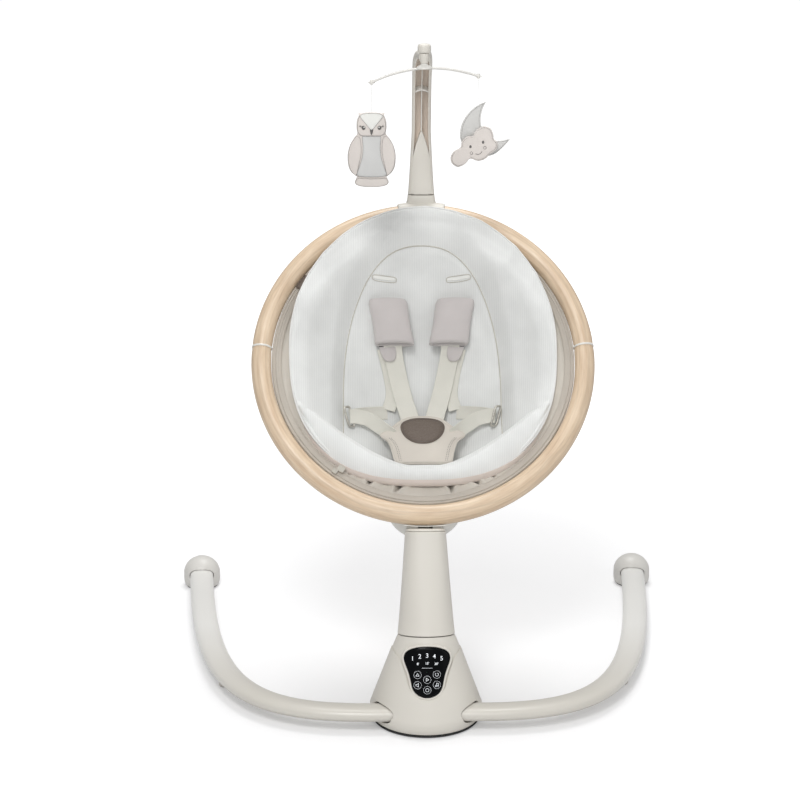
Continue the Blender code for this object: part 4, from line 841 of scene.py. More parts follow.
def make_pivot():
    shares = sorted({round(0.012 + 0.976 * i / 60, 4)
        for i in range(61)} | {round(acos(-(line + d) / DOME_HALF_LENGTH) / pi, 4) for line in (-0.024, 0.024)
        for d in (-0.0014, -0.0006, 0, 0.0006, 0.0014)})
    dome = turned("pivot_housing", [dome_radius(k) for k in shares], PIVOT, "pale_plastic", (1, 0, 0), 96)
    groove = grid("groove", tube_rows(radians(238), radians(302), 40, TUBE_RADIUS + 0.0006, 40),
        "cream_plastic")
    front = turned("front", [(0.3, 0.0), (0.3, 0.09)], HOOP_CENTRE, "cream_plastic", HOOP_OUT, 64)
    bowl = sheet_pair("bowl", in_circle(0.2232), SLING_DEEPEST, sling_height(0.005), lambda share, a: 0.06,
        "cream_plastic", 20, 96)
    down = (axis_point(0.0415) - PIVOT).normalized()
    across = vec(0, -down.z, down.y)
    corners = [across * 0.026 - down * 0.018, across * 0.026 + down * 0.06, across * -0.026 + down * 0.06,
        across * -0.026 - down * 0.018]
    slot = grid("slot", [[PIVOT + c + vec(x, 0, 0) for c in corners] for x in (-0.0108, 0.0108)],
        "cream_plastic")
    cut(dome, groove, front, bowl, slot)
    bevel(dome, 0.0008, 2, 45)
    put(dome, "seat", "pivot_dome")
    lever_at = PIVOT + vec(0, 0.0265, -0.02)
    profile = mm((19, 6), (23.5, 1.5), (27.5, -4), (30.8, -12), (33, -22), (31.8, -26.2), (29, -26),
        (26.5, -18), (23.5, -11), (20, -6), (16.5, -2))
    rows = [[lever_at + vec(x, u * k + 0.024 * (1 - k), v * k - 0.01 * (1 - k)) for u, v in profile]
        for x, k in ((-0.017, 0.8), (-0.0166, 0.93), (-0.015, 1.0), (0.0, 1.0), (0.015, 1.0), (0.0166, 0.93),
        (0.017, 0.8))]
    lever = grid("recline_paddle", rows, "pale_plastic", angle=55)
    bevel(lever, 0.0008, 2, 35)
    put(lever, "recline_lever", "recline_lever")


# ---------------------------------------------------------------- hoop
def hoop_row(angle, section):
    return [on_hoop(angle, HOOP_RADIUS + u, v) for u, v in section]


def tube_rows(start, end, steps, radius, sides=36):
    rows = []
    for i in range(steps + 1):
        angle = start + (end - start) * i / steps
        section = oval(radius, radius, sides)
        section = section[sides * 3 // 4:] + section[:sides * 3 // 4]
        rows.append(hoop_row(angle, section))
    return rows


def make_saddle():
    """A pale strip under the hoop that closes the slit above the post."""
    rows = []
    for i in range(25):
        a = radians(263.0 + 14.0 * i / 24)
        arc = [radians(-70 + 64 * j / 12) for j in range(13)]
        section = [((TUBE_RADIUS + grow) * cos(b), (TUBE_RADIUS + grow) * sin(b))
            for grow, run in ((0.0005, arc), (0.002, arc[::-1])) for b in run]
        rows.append(hoop_row(a, section))
    put(grid("hoop_saddle", rows, "pale_plastic", angle=60), "seat")


def make_hoop():
    gap = 0.0016 / HOOP_RADIUS
    right, left = HOOP_JOINT, pi - HOOP_JOINT
    for word, start, end in (("upper", right + gap, left - gap), ("lower", left + gap, 2 * pi + right - gap)):
        rows = tube_rows(start, end, 150, TUBE_RADIUS)
        for k, share in ((0, 0.955), (1, 0.99), (-1, 0.955), (-2, 0.99)):
            centre = sum(rows[k], Vector()) / len(rows[k])
            rows[k] = [centre + (p - centre) * share for p in rows[k]]
        near = [p.lerp(rows[0][j], 0.06) for j, p in enumerate(rows[1])]
        far = [p.lerp(rows[-1][j], 0.06) for j, p in enumerate(rows[-2])]
        rows = [rows[0], near, *rows[2:-2], far, rows[-1]]
        tube = grid("hoop_tube_" + word, rows, "wood_look", angle=60)
        put(tube, "seat", "hoop_" + word)
    for word, angle in (("left", left), ("right", right)):
        rows = []
        for d, radius in ((-1.0, 0.014), (-0.92, 0.01475), (-0.6, 0.01505), (0.6, 0.01505), (0.92, 0.01475),
                (1.0, 0.014)):
            a = angle + d * 0.0015 / HOOP_RADIUS
            rows.append(hoop_row(a, oval(radius, radius, 48)))
        put(grid("hoop_ring_" + word, rows, "pale_plastic", angle=60), "seat", "hoop_joint_" + word)


# ---------------------------------------------------------------- soft goods
def edge_distance(direction, centre_s, inside):
    low, high = 0.0, 0.4
    for _ in range(24):
        middle = (low + high) / 2
        if inside(direction[0] * middle, centre_s + direction[1] * middle):
            low = middle
        else:
            high = middle
    return low


def in_circle(radius):
    return lambda x, s: x * x + s * s < radius * radius


def in_liner(x, s):
    rise, power = (0.208, 2.0) if s > 0.025 else (0.205, 2.6)
    return abs(x / LINER_HALF_WIDTH) ** power + abs((s - 0.025) / rise) ** power < 1


def sling_height(drop=0.0):
    return lambda share, a: -0.004 - drop - SLING_DEPTH * (1 - share**2.2)


def sling_roll(share, a):
    """The soft roll of the sling's padding just inside the zip; at the foot it carries the liner's lip."""
    full = 0.019 + 0.004 * abs(cos(a))
    side = full * smooth_step(0.66, 0.9, share) * (1 - smooth_step(0.91, 1.0, share) ** 1.4)
    foot = (SLING_DEPTH * (1 - share**2.2) - 0.06 * (1 - share)) * smooth_step(0.56, 0.8, share)
    return side + (foot - side) * smooth_step(0.1, 0.7, -sin(a))


def liner_height(share, a):
    up = sin(a)
    edge = 0.034 * max(up, 0) ** 2 - 0.002 * (1 - up * up) - 0.03 * max(-up, 0) ** 1.5
    return edge - (0.118 + edge) * (1 - share**2.1)


REACH = {}


def share_of(x, s, centre_s, inside, key):
    """How far out of an outline a point is, and its angle; distances to the outline are kept."""
    reach = hypot(x, s - centre_s) or 1e-6
    angle = atan2(s - centre_s, x)
    slot = round(angle * 400)
    if (key, slot) not in REACH:
        a = slot / 400
        REACH[key, slot] = edge_distance((cos(a), sin(a)), centre_s, inside)
    return min(1.0, reach / REACH[key, slot]), angle


def support_height(x, s):
    radius = hypot(x, s)
    share, a = share_of(x, s, SLING_DEEPEST, in_circle(SLING_RADIUS), "sling")
    sling = sling_height()(share, a) + sling_roll(share, a)
    reach = TUBE_RADIUS + 0.0012 + 0.0063 * smooth_step(0.062, 0.046, abs(x)) * (s > 0)
    fall = abs(radius - HOOP_RADIUS)
    rim = sqrt(reach**2 - fall**2) if fall < reach else 0.0
    return sling + (max(rim, 0.003) - sling) * smooth_step(0.186, 0.2085, radius)


def smooth_step(low, high, x):
    t = max(0.0, min(1.0, (x - low) / (high - low)))
    return t * t * (3 - 2 * t)


ARCH_HALF, ARCH_RISE, ARCH_FOOT, ARCH_POWER = 0.1175, 0.215, -0.03, 2.3


def arch_distance(x, s):
    """Under 0 inside the liner's inner panel, over 0 outside it, 0 on its piped seam."""
    if s > ARCH_FOOT:
        return (abs(x / ARCH_HALF) ** ARCH_POWER + ((s - ARCH_FOOT) / ARCH_RISE) ** ARCH_POWER) ** (1
            / ARCH_POWER) - 1
    return abs(x) / ARCH_HALF - 1


def liner_surface(x, s):
    """The padded liner's face: the CAD's bowl, puffed outside the piped seam and sunk along it."""
    share, a = share_of(x, s, LINER_MIDDLE, in_liner, "liner")
    low, high = sorted((liner_height(share, a), support_height(x, s) + 0.0062))
    h = high + 0.004 * exp(-(high - low) / 0.006)
    d = arch_distance(x, s)
    puff = 0.0145 * smooth_step(-0.01, 0.17, d) * (1 - smooth_step(0.86, 1.0, share))
    puff += 0.003 * smooth_step(0.0, -0.25, d) - 0.002 * exp(-((d / 0.022) ** 2))
    at = vec(x * 16, s * 10, 0.7)
    crease = noise.noise(at) * 0.0014 + noise.noise(vec(x * 55 + s * 20, s * 14, 3.1)) * 0.0007
    up = smooth_step(0.02, 0.16, s) * smooth_step(0.02, 0.2, d)
    pull = max(0.0, sin(a * 30 + 3.5 * noise.noise(vec(a * 3, share * 4, 9)))) ** 2 * 0.003 * up
    pull *= smooth_step(-0.35, 0.35, noise.noise(vec(a * 1.3, 0.2, 4.4)) + 0.25 * copysign(1, x))
    edge = 0.0058 * (1 - sqrt(max(0.0, 1 - smooth_curve(share)))) if share > 0.955 else 0.0
    return h + puff + crease + pull - edge


def on_liner(x, s, lift):
    return in_hoop(x, s, liner_surface(x, s) + lift)


def smooth_curve(share):
    return min(1.0, ((share - 0.955) / 0.045)) ** 2


def polar(inside, centre_s, rings, sides):
    """Rings of (x, s, share, angle) over an outline from its edge to near its middle."""
    rows = []
    for k in range(rings + 1):
        share = 0.02 + 0.98 * (1 - k / rings) ** 0.82
        row = []
        for i in range(sides):
            a = 2 * pi * i / sides
            reach = edge_distance((cos(a), sin(a)), centre_s, inside) * share
            row.append((cos(a) * reach, centre_s + sin(a) * reach, share, a))
        rows.append(row)
    return rows


def sheet_pair(name, inside, centre_s, above, below, material, rings, sides):
    """A closed shell between two heights over an outline; above and below take (share, angle)."""
    rows = polar(inside, centre_s, rings, sides)
    top = [[in_hoop(x, s, above(k, a)) for x, s, k, a in row] for row in rows]
    low = [[in_hoop(x, s, below(k, a)) for x, s, k, a in row] for row in rows]
    return grid(name, top[::-1] + low, material, caps=True, angle=60)


def flat_uv(obj):
    """A UV map in metres straight from the hoop's plane, so that cloth lines run up the seat."""
    layer = obj.data.uv_layers["UVMap"].data
    for loop, uv in zip(obj.data.loops, layer):
        p = obj.data.vertices[loop.vertex_index].co - TO_ROW - HOOP_CENTRE
        uv.uv = (p.x, p.dot(HOOP_UP) + p.dot(HOOP_OUT) * 0.3)
    return obj


def make_sling():
    fold = random.Random(4)
    pleats = [(radians(270 + d), fold.uniform(0.0085, 0.0115), fold.uniform(0.036, 0.052),
        fold.uniform(-0.5, 0.5)) for d in (-66, -53, -41, -20.5, 20.5, 38, 50, 62)]

    def gather(share, a):
        total = 0.0
        for at, depth, width, bend in pleats:
            d = (a - at - bend * (share - 0.9) + pi) % (2 * pi) - pi
            w = width * (1.0 - 0.6 * smooth_step(0.82, 0.98, share))
            total -= depth * (exp(-((d / w) ** 2)) - 0.35 * exp(-(((abs(d) - w * 2.2) / (w * 1.2)) ** 2)))
        rim = smooth_step(0.6, 0.84, share) * (1 - smooth_step(0.92, 1.0, share))
        soft = noise.noise(vec(cos(a) * 3, sin(a) * 3, share * 4)) * 0.0016 * (1
            - smooth_step(0.95, 1, share))
        return total * rim + soft

    deep = sling_height()

    def base(share, a):
        return deep(share, a) + sling_roll(share, a)

    sling = sheet_pair("sling_bowl", in_circle(SLING_RADIUS), SLING_DEEPEST, lambda k,
        a: base(k, a) + gather(k, a), lambda k, a: base(k, a) + gather(k, a) - 0.0026, "sling_fabric", 56,
        420)
    flat_uv(sling)
    put(sling, "seat", "seat_sling")
    # Seams of the sling's three outer panels, seen from behind.
    for word, x in (("left", -0.085), ("right", 0.085)):
        line = []
        for i in range(40):
            s = 0.165 - 0.335 * i / 39
            k, a = share_of(x, s, SLING_DEEPEST, in_circle(SLING_RADIUS), "sling")
            if k < 0.985:
                line.append(in_hoop(x, s, base(k, a) + gather(k, a) - 0.003))
        put(rod("sling_seam_" + word, line, 0.0012, "sling_fabric", up=(1, 0.2, 0.1), sides=8), "seat")

    tape = mm((206.2, -5), (206.6, -3), (209.5, -1.6), (210.4, -1.6), (211.2, -0.4), (216.5, 0.2), (220.8, 1),
        (221.2, -3.4))
    rows = [[on_hoop(2 * pi * i / 260, r, h) for r, h in tape] for i in range(260)]
    put(grid("zip_tape_ring", rows, "zip_tape", caps=False, close_rows=True, angle=60), "seat", "zip_band")
    for name, radius, h, thick in (("zip_piping_outer", 0.219, 0.0012, 0.0012),
            ("zip_coil", 0.215, 0.0, 0.001)):
        line = [on_hoop(2 * pi * i / 220, radius, h) for i in range(220)]
        bead = rod(name, line, thick, "zip_tape", up=HOOP_OUT, sides=10, closed=True)
        put(bead, "seat")
    verts, faces = [], []
    for i in range(620):
        a = 2 * pi * i / 620
        base_at = len(verts)
        for da, r, h in ((-0.0016, 0.2144, 0.0008), (0.0016, 0.2144, 0.0008), (0.0016, 0.2156, 0.0008),
                (-0.0016, 0.2156, 0.0008), (-0.001, 0.2146, 0.0013), (0.001, 0.2146, 0.0013),
                (0.001, 0.2154, 0.0013), (-0.001, 0.2154, 0.0013)):
            verts.append(tuple(on_hoop(a + da, r, h) + TO_ROW))
        for q in ((3, 2, 1, 0), (4, 5, 6, 7), (0, 1, 5, 4), (1, 2, 6, 5), (2, 3, 7, 6), (3, 0, 4, 7)):
            faces.append(tuple(base_at + k for k in q))
    put(from_faces("zip_teeth", verts, faces, None, "zip_tape"), "seat")

    a = radians(233)
    slider = [[on_hoop(a + da, 0.2132 + r, h)
        for da, h in ((-0.018, 0.0014), (-0.018, 0.0036), (0.018, 0.0036), (0.018, 0.0014))]
        for r in (-0.0035, -0.0028, 0.0028, 0.0035)]
    slider = grid("zip_slider", slider, "piping", angle=50)
    modifier(slider, "BEVEL", width=0.0006, segments=2)
    put(slider, "seat", slot="zip_tape")
    tab = [[on_hoop(a + da, 0.21 - r, 0.003 - 0.1 * r) for da in (0.052, 0.03, 0.012, -0.004)]
        for r in (0.0, 0.004, 0.008, 0.011)]
    tab = grid("zip_pull_tab", tab, "piping", wrap=False, caps=False)
    modifier(tab, "SOLIDIFY", thickness=0.0016)
    modifier(tab, "SUBSURF", levels=1, render_levels=1)
    put(tab, "seat", slot="zip_tape")

    rows = []
    for i in range(9):
        r = 0.2105 + 0.0098 * i / 8
        rows.append([on_hoop(radians(d), r, 0.0026 + 0.001 * sin(pi * i / 8))
            for d in (141.8, 143.4, 145, 146.6, 148.2)])
    tag = grid("side_label", rows, "badge_leather", wrap=False, caps=False)
    modifier(tag, "SOLIDIFY", thickness=0.0012)
    put(tag, "seat", "side_tag")


def make_liner():
    rows = polar(in_liner, LINER_MIDDLE, 84, 260)
    top, low = [], []
    for row in rows:
        face = [(x, s, liner_surface(x, s)) for x, s, _, _ in row]
        top.append([in_hoop(*p) for p in face])
        low.append([])
        for x, s, h in face:
            under = max(base_top(x, s) - LINER_THICKNESS, support_height(x, s) + 0.0016)
            low[-1].append(in_hoop(x, s, min(under, h - 0.001)))
    liner = grid("liner_pad", top[::-1] + low, "liner_fabric", angle=75)
    flat_uv(liner)
    put(liner, "seat", "seat_liner")

    # The piped seam round the inner panel.
    line = []
    for i in range(150):
        t = i / 149
        if t < 0.14:
            x, s = -ARCH_HALF, -0.118 + (ARCH_FOOT + 0.118) * t / 0.14
        elif t > 0.86:
            x, s = ARCH_HALF, ARCH_FOOT - (ARCH_FOOT + 0.118) * (t - 0.86) / 0.14
        else:
            a = pi * (1 - (t - 0.14) / 0.72)
            c, up = cos(a), sin(a)
            x = ARCH_HALF * copysign(abs(c) ** (2 / ARCH_POWER), c)
            s = ARCH_FOOT + ARCH_RISE * max(0.0, up) ** (2 / ARCH_POWER)
        line.append(on_liner(x, s, 0.0004))
    put(rod("liner_piping", line, 0.0009, "piping", up=HOOP_OUT, sides=10), "seat")
    edge = [in_hoop(x, s, liner_surface(x * 0.999, s * 0.999) - 0.0006)
        for x, s, _, _ in polar(in_liner, LINER_MIDDLE, 1, 300)[0]]
    put(rod("liner_edge_piping", edge, 0.0013, "lip_fabric", up=HOOP_OUT, sides=10, closed=True), "seat")

    # Two harness slots at the top of the panel, edged with an overlock bead.
    for side, word in SIDES:
        x0, s0 = side * 0.0555, 0.144
        pocket = surface_patch("harness_slot_" + word, x0, s0, 0.0175, 0.0021, side * 0.02, 0.0015,
            "toy_white", 3.5)
        put(pocket, "seat", slot="liner_fabric")
        loop = []
        for u, v in oval(0.018, 0.0036, 40, 4):
            x, s = x0 + u, s0 - 0.0006 + v + side * 0.02 * u
            loop.append(on_liner(x, s, 0.0006))
        put(rod("harness_slot_bead_" + word, loop, 0.0006, "piping", up=HOOP_OUT, sides=8, closed=True),
            "seat")


def surface_patch(name, x0, s0, half_u, half_v, slope, lift, material, power=2.0):
    """A thin low pad that lies on the liner's face."""
    rows = []
    for k in (1.0, 0.97, 0.85, 0.6, 0.3, 0.05):
        row = []
        for u, v in oval(half_u * k, half_v * k, 36, power):
            x, s = x0 + u, s0 + v + slope * u
            row.append(on_liner(x, s, lift * (1 if k < 0.98 else 0.2)))
        rows.append(row)
    return flat_uv(grid(name, rows, material, caps=True))


def lip_edge(x):
    """The liner's outline at the foot, with the lip's small overhang."""
    return 0.022 - 0.2105 * max(0.0, 1 - abs(x / LINER_HALF_WIDTH) ** 2.6) ** (1 / 2.6)


def lip_crest(x):
    return -0.17 + 0.104 * (max(0.0, abs(x) - 0.022) / 0.158) ** 1.45


def make_lip():
    """The front lip: a soft roll over the liner's foot with a ribbed face and a bound lower edge."""
    rows, binding = [], []
    steps = 120
    for i in range(steps + 1):
        x = LIP_HALF * sin(pi / 2 * (-1 + 2 * i / steps))
        edge, crest = lip_edge(x), lip_crest(x)
        k = 1 - smooth_step(0.84, 1.0, abs(x) / LIP_HALF)
        crest = max(crest, edge + 0.004)
        ridge = 0.005 - 0.002 * (abs(x) / 0.17) ** 2 - 0.006 * (1 - k)
        over = 0.005 * (1 - smooth_step(0.965, 1.0, abs(x) / LIP_HALF)) + 0.0008
        middle, brow = (max(own, liner_surface(x, at) + over)
            for own, at in ((ridge + 0.0028, (edge + crest * 2) / 3), (ridge + 0.0012, crest + 0.002)))
        wave = noise.noise(vec(x * 20, 0.4, 1.7)) * 0.0012 + noise.noise(vec(x * 48, 2.4, 1.7)) * 0.0006
        spine = [(edge - 0.001, ridge - 0.0125), (edge + 0.0015, ridge - 0.0055),
            ((edge * 2 + crest) / 3, ridge + 0.0005 + wave), ((edge + crest * 2) / 3, middle + wave),
            (crest + 0.002, brow), (crest + 0.0045, brow - 0.0045), (crest + 0.006 + 0.008 * k, brow - 0.02),
            (crest + 0.006 + 0.011 * k, ridge - 0.034 * k - 0.012)]
        line = smooth_line([vec(0, s, h) for s, h in spine], 3)
        upper, lower = [], []
        for j, p in enumerate(line):
            along = (line[min(j + 1, len(line) - 1)] - line[max(j - 1, 0)]).normalized()
            normal = vec(0, -along.z, along.y)
            share = j / (len(line) - 1)
            thick = (0.0022 + 0.01 * sin(pi * min(1, share * 1.12)) ** 0.7 * k) if share < 0.88 else 0.003
            upper.append(in_hoop(x, p.y, p.z))
            q = p - normal * thick
            lower.append(in_hoop(x, q.y, q.z))
        rows.append(upper + lower[::-1])
        binding.append([in_hoop(x, edge + ds, ridge + dh)
            for ds, dh in mm((4, -1.2), (2.2, -3.4), (0, -6.8), (-1.7, -11.2), (-1.6, -14.8), (1.2, -18),
            (8, -19.5), (8, -12), (6, -5))])
    lip = grid("liner_lip", rows, "liner_fabric", angle=70)
    flat_uv(lip)
    put(lip, "seat", "liner_front_lip")
    tape = grid("lip_binding", binding, "under_fabric", angle=60)
    put(tape, "seat")


# ---------------------------------------------------------------- harness
def base_top(x, s):
    share, a = share_of(x, s, LINER_MIDDLE, in_liner, "liner")
    return liner_height(share, a)


def above(side, x, s, lift):
    """A strap's point over the liner's base, mirrored by side."""
    return side * x, s, base_top(side * x, s) + lift


def cover_height(s):
    return -0.087 - 0.36 * (s + 0.056)


def strap(name, points, width, *nodes, wide=(1, 0, 0)):
    """Webbing through hoop-frame points with rounded selvedges."""
    line = smooth_line([in_hoop(*p) for p in points], 10)
    quarter = [(k * width / 2, d * WEBBING / 2) for k, d in ((0.985, 0.8), (0.94, 1), (0.9, 0.72))]
    upper = [(-x, y) for x, y in quarter] + [(0, WEBBING / 2 * 0.85)] + quarter[::-1]
    section = [(-width / 2, 0.0), *upper, (width / 2, 0.0), *[(x, -y) for x, y in upper[::-1]]]
    direction = HOOP_UP * wide[1] + HOOP_OUT * wide[2] + vec(wide[0], 0, 0)
    rows = []
    last = len(line) - 1
    for i, centre in enumerate(line):
        along = (line[min(i + 1, last)] - line[max(i - 1, 0)]).normalized()
        side = (direction - along * direction.dot(along)).normalized()
        lift = side.cross(along)
        rows.append([centre + side * a + lift * b for a, b in section])
    return put(grid(name, rows, "webbing", angle=60), "seat", *nodes)


def make_shoulder_pad(word, side):
    """A wrap pad: a soft sleeve round the strap, open below, with its rounded second leaf behind."""
    def place(u, v, w):
        x, s = side * (SLEEVE_X + u) + side * 0.17 * v, SLEEVE_S + v
        return in_hoop(x, s, base_top(side * SLEEVE_X, s) * 0.75 + 0.0015 + w - 0.05 * abs(u))

    rows = []
    n = 22
    for i in range(n + 1):
        t = i / n
        v = -0.031 + 0.062 * t
        end = 1 - 0.09 * smooth_step(0.88, 1.0, t) ** 2 - 0.03 * smooth_step(0.07, 0.0, t)
        thick = 0.01 + 0.003 * sin(pi * min(1, t * 1.05)) ** 0.6 + 0.0016 * exp(-((t / 0.09) ** 2))
        wide = (0.0298 - 0.0016 * sin(pi * t)) * end
        dent = 0.0006 * noise.noise(vec(t * 4, side, 0.3))
        rows.append([place(u, v, w + dent) for u, w in oval(wide, thick * end, 44, 2.35)])
    inside = []
    for i in range(9):
        t = i / 8
        v = -0.0306 + 0.03 * t
        inside.append([place(u, v, w) for u, w in oval(0.024 * (1 - 0.1 * t), 0.004 * (1 - 0.4 * t), 44,
            3.0)])
    rim = [[place(u, -0.0316, w) for u, w in oval(0.0265, 0.0062, 44, 3.0)]]
    pad = grid("shoulder_sleeve_" + word, inside[::-1] + rim + rows, "pad_fabric", angle=80)
    put(pad, "seat", "shoulder_pad_" + word)
    seam = [place(0.0262, -0.029 + 0.056 * i / 20, 0.0042) for i in range(21)]
    put(rod("shoulder_seam_" + word, seam, 0.0008, "pad_fabric", up=HOOP_OUT, sides=8), "seat")
    stitches(f"shoulder_stitch_{word}", [place(0.0225, -0.027 + 0.053 * i / 20, 0.0074) for i in range(21)],
        "seat", "pale_stitch", 0.0026)
    rows = [[place(0.011 + u * k, -0.03 + v * k, w) for u, v in oval(0.0125, 0.0235, 36, 2.6)]
        for k, w in ((0.93, -0.0105), (1.0, -0.0088), (1.0, -0.0078), (0.93, -0.0062))]
    tail = grid("shoulder_leaf_" + word, rows, "pad_fabric", angle=60)
    put(tail, "seat")
    rows = [[place(0.0205 + u, -0.0295 + v, w) for u, v in oval(0.004, 0.003, 16, 4)]
        for w in (-0.006, -0.0052)]
    put(grid("shoulder_fastener_" + word, rows, "rubber"), "seat", slot="pad_fabric")


def stitches(name, line, body, material="stitch", pitch=0.003, radius=0.00035):
    """A row of short sewn stitches along a line, as one piece."""
    total = sum((b - a).length for a, b in zip(line, line[1:]))
    count = max(2, int(total / pitch))
    verts, faces = [], []
    for i in range(count):
        a = along_line(line, (i + 0.14) / count)
        b = along_line(line, (i + 0.8) / count)
        d = (b - a).normalized()
        side = d.cross(vec(0.3, -0.8, 0.5)).normalized() * radius
        lift = side.normalized().cross(d) * radius
        middle = (a + b) / 2
        start = len(verts)
        for centre, grow in ((a, 0.35), (middle, 1.0), (b, 0.35)):
            for k in range(6):
                c = 2 * pi * k / 6
                verts.append(tuple(centre + side * cos(c) * grow + lift * sin(c) * grow + TO_ROW))
        for row in (0, 1):
            for k in range(6):
                j = (k + 1) % 6
                faces.append((start + row * 6 + k, start + row * 6 + j, start + (row + 1) * 6 + j,
                    start + (row + 1) * 6 + k))
        faces.append(tuple(start + k for k in range(5, -1, -1)))
        faces.append(tuple(start + 12 + k for k in range(6)))
    return put(from_faces(name, verts, faces, None, material), body,
        slot="webbing" if body == "seat" else None)


COVER_OUTLINE = mm((-39.5, -137.5), (-20, -138.8), (0, -139.2), (20, -138.8), (39.5, -137.5), (43, -128),
    (46.5, -112), (52, -98.5), (61.5, -90), (60, -84.5), (50, -79), (36, -65.5), (24, -58), (12, -55.2),
    (0, -54.8), (-12, -55.2), (-24, -58), (-36, -65.5), (-50, -79), (-60, -84.5), (-61.5, -90), (-52, -98.5),
    (-46.5, -112), (-43, -128))


def cover_lift(u, v):
    """The padded cover's face over its sloping plane."""
    r = hypot(u / 0.05, (v - COVER_MIDDLE) / 0.042)
    return 0.0045 * (1 - min(1, r) ** 2) + 0.0006 * noise.noise(vec(u * 60, v * 60, 5))


def on_cover(u, v, lift):
    return in_hoop(u, v, cover_height(v) + cover_lift(u, v) + lift)


def make_harness():
    for side, word in SIDES:
        make_shoulder_pad(word, side)
        shoulder = mm((42, 40, 15), (34.5, 5, 11), (27, -25, 14), (20.5, -48, 20), (18.5, -57, 23))
        strap("shoulder_webbing_" + word, [(side * 0.0425, 0.06, base_top(side * 0.04, 0.06) * 0.75 - 0.001),
            *[above(side, *p) for p in shoulder]], 0.0275, "shoulder_strap_" + word)
        back = mm((57, 50, 8.5), (48, 15, 6.5), (44, -15, 6.5), (50, -40, 8.5))
        strap("back_webbing_" + word, [above(side, *p) for p in back], 0.02)
        front = cover_height(-0.084) - 0.003
        waist = mm((80, -63, 21), (98, -60, 16.5), (107.5, -61, 12.5))
        strap("waist_webbing_" + word, [(side * 0.044, -0.088, front), (side * 0.06, -0.076, front - 0.001),
            *[above(side, *p) for p in waist]], 0.0215, "waist_strap_" + word, wide=(side * 0.28, 0.88, 0.35))
        back = mm((92, -52, 7), (70, -46, 6), (52, -43, 5))
        strap("waist_return_" + word, [(side * 0.1075, -0.06, base_top(side * 0.1075, -0.061) + 0.01),
            *[above(side, *p) for p in back]], 0.02, wide=(side * 0.1, 0.95, 0.25))
        at = in_hoop(*above(side, 0.1085, -0.061, 0.0115))
        tall = (HOOP_UP * 0.9 + HOOP_OUT * 0.36 + vec(side * 0.25, 0, 0)).normalized()
        deep = tall.cross(vec(side, 0, 0)).normalized()
        across = (deep * 0.55 + vec(side, 0, 0) * 0.85).normalized()
        loop = [at + tall * v + across * u for v, u in oval(0.015, 0.0052, 40, 5)]
        put(rod("waist_buckle_" + word, loop, 0.0017, "steel", up=vec(1, 0.01, 0), sides=10, closed=True),
            "seat", "waist_slide_" + word)

    outline = [vec(u, v, 0) for u, v in COVER_OUTLINE]
    smooth = smooth_line(outline + outline[:1], 4)[:-1]
    rows = []
    for k, lift in ((0.97, -0.0105), (1.0, -0.0085), (1.005, -0.005), (1.0, -0.0022), (0.985, -0.0006),
            (0.96, 0.0002), (0.9, 0.0006), (0.8, 0.0008), (0.65, 0.0008), (0.5, 0.0008), (0.35, 0.0008),
            (0.18, 0.0008), (0.03, 0.0008)):
        row = []
        for p in smooth:
            u, v = p.x * k, COVER_MIDDLE + (p.y - COVER_MIDDLE) * k
            extra = cover_lift(u, v) if lift > -0.004 else 0.0
            row.append(in_hoop(u, v, cover_height(v) + lift + extra * (1 if k < 0.97 else 0.5)))
        rows.append(row)
    cover = flat_uv(grid("buckle_pad", rows, "buckle_cover", angle=70))
    put(cover, "seat", "buckle_cover")
    piping = [in_hoop(p.x * 1.002, COVER_MIDDLE + (p.y - COVER_MIDDLE) * 1.002,
        cover_height(p.y) - 0.0018 + cover_lift(p.x, p.y) * 0.5) for p in smooth]
    put(rod("buckle_pad_piping", piping, 0.001, "buckle_cover", up=HOOP_OUT, sides=8, closed=True), "seat")
    for side, word in SIDES:
        for row, inset in (("outer", 0.0045), ("inner", 0.0072)):
            line = [vec(side * (u - inset), v, 0)
                for u, v in mm((39.5, -135), (41.5, -124), (44.5, -111), (49, -101), (54.5, -93.5))]
            line = [on_cover(p.x, p.y, 0.0011) for p in smooth_line(line, 6)]
            stitches(f"buckle_pad_stitch_{row}_{word}", line, "seat", "stitch", 0.003)
        line = [vec(side * u, v, 0) for u, v in mm((4, -59), (20, -60.8), (33, -68), (46, -80))]
        line = [on_cover(p.x, p.y, 0.001) for p in smooth_line(line, 6)]
        stitches(f"buckle_pad_stitch_top_{word}", line, "seat", "pale_stitch", 0.0028)
    rows = []
    for k, lift in ((1.0, 0.001), (1.0, 0.0019), (0.985, 0.0023), (0.95, 0.0024), (0.93, 0.0019),
            (0.91, 0.0024), (0.7, 0.0024), (0.4, 0.0024), (0.05, 0.0024)):
        row = []
        for u, v in oval(0.0318 * k, 0.0238 * k, 72, 2.3):
            u *= 1 + 9.0 * v
            v += BADGE_MIDDLE
            row.append(on_cover(u, v, lift))
        rows.append(row)
    badge = grid("buckle_badge", rows, "badge_leather", angle=60)
    put(badge, "seat", "cover_badge")
    line = []
    for u, v in oval(0.029, 0.0212, 80, 2.3):
        u *= 1 + 9.0 * v
        v += BADGE_MIDDLE
        line.append(on_cover(u, v, 0.0026))
    stitches("buckle_badge_stitch", line + line[:1], "seat", "stitch", 0.0026)


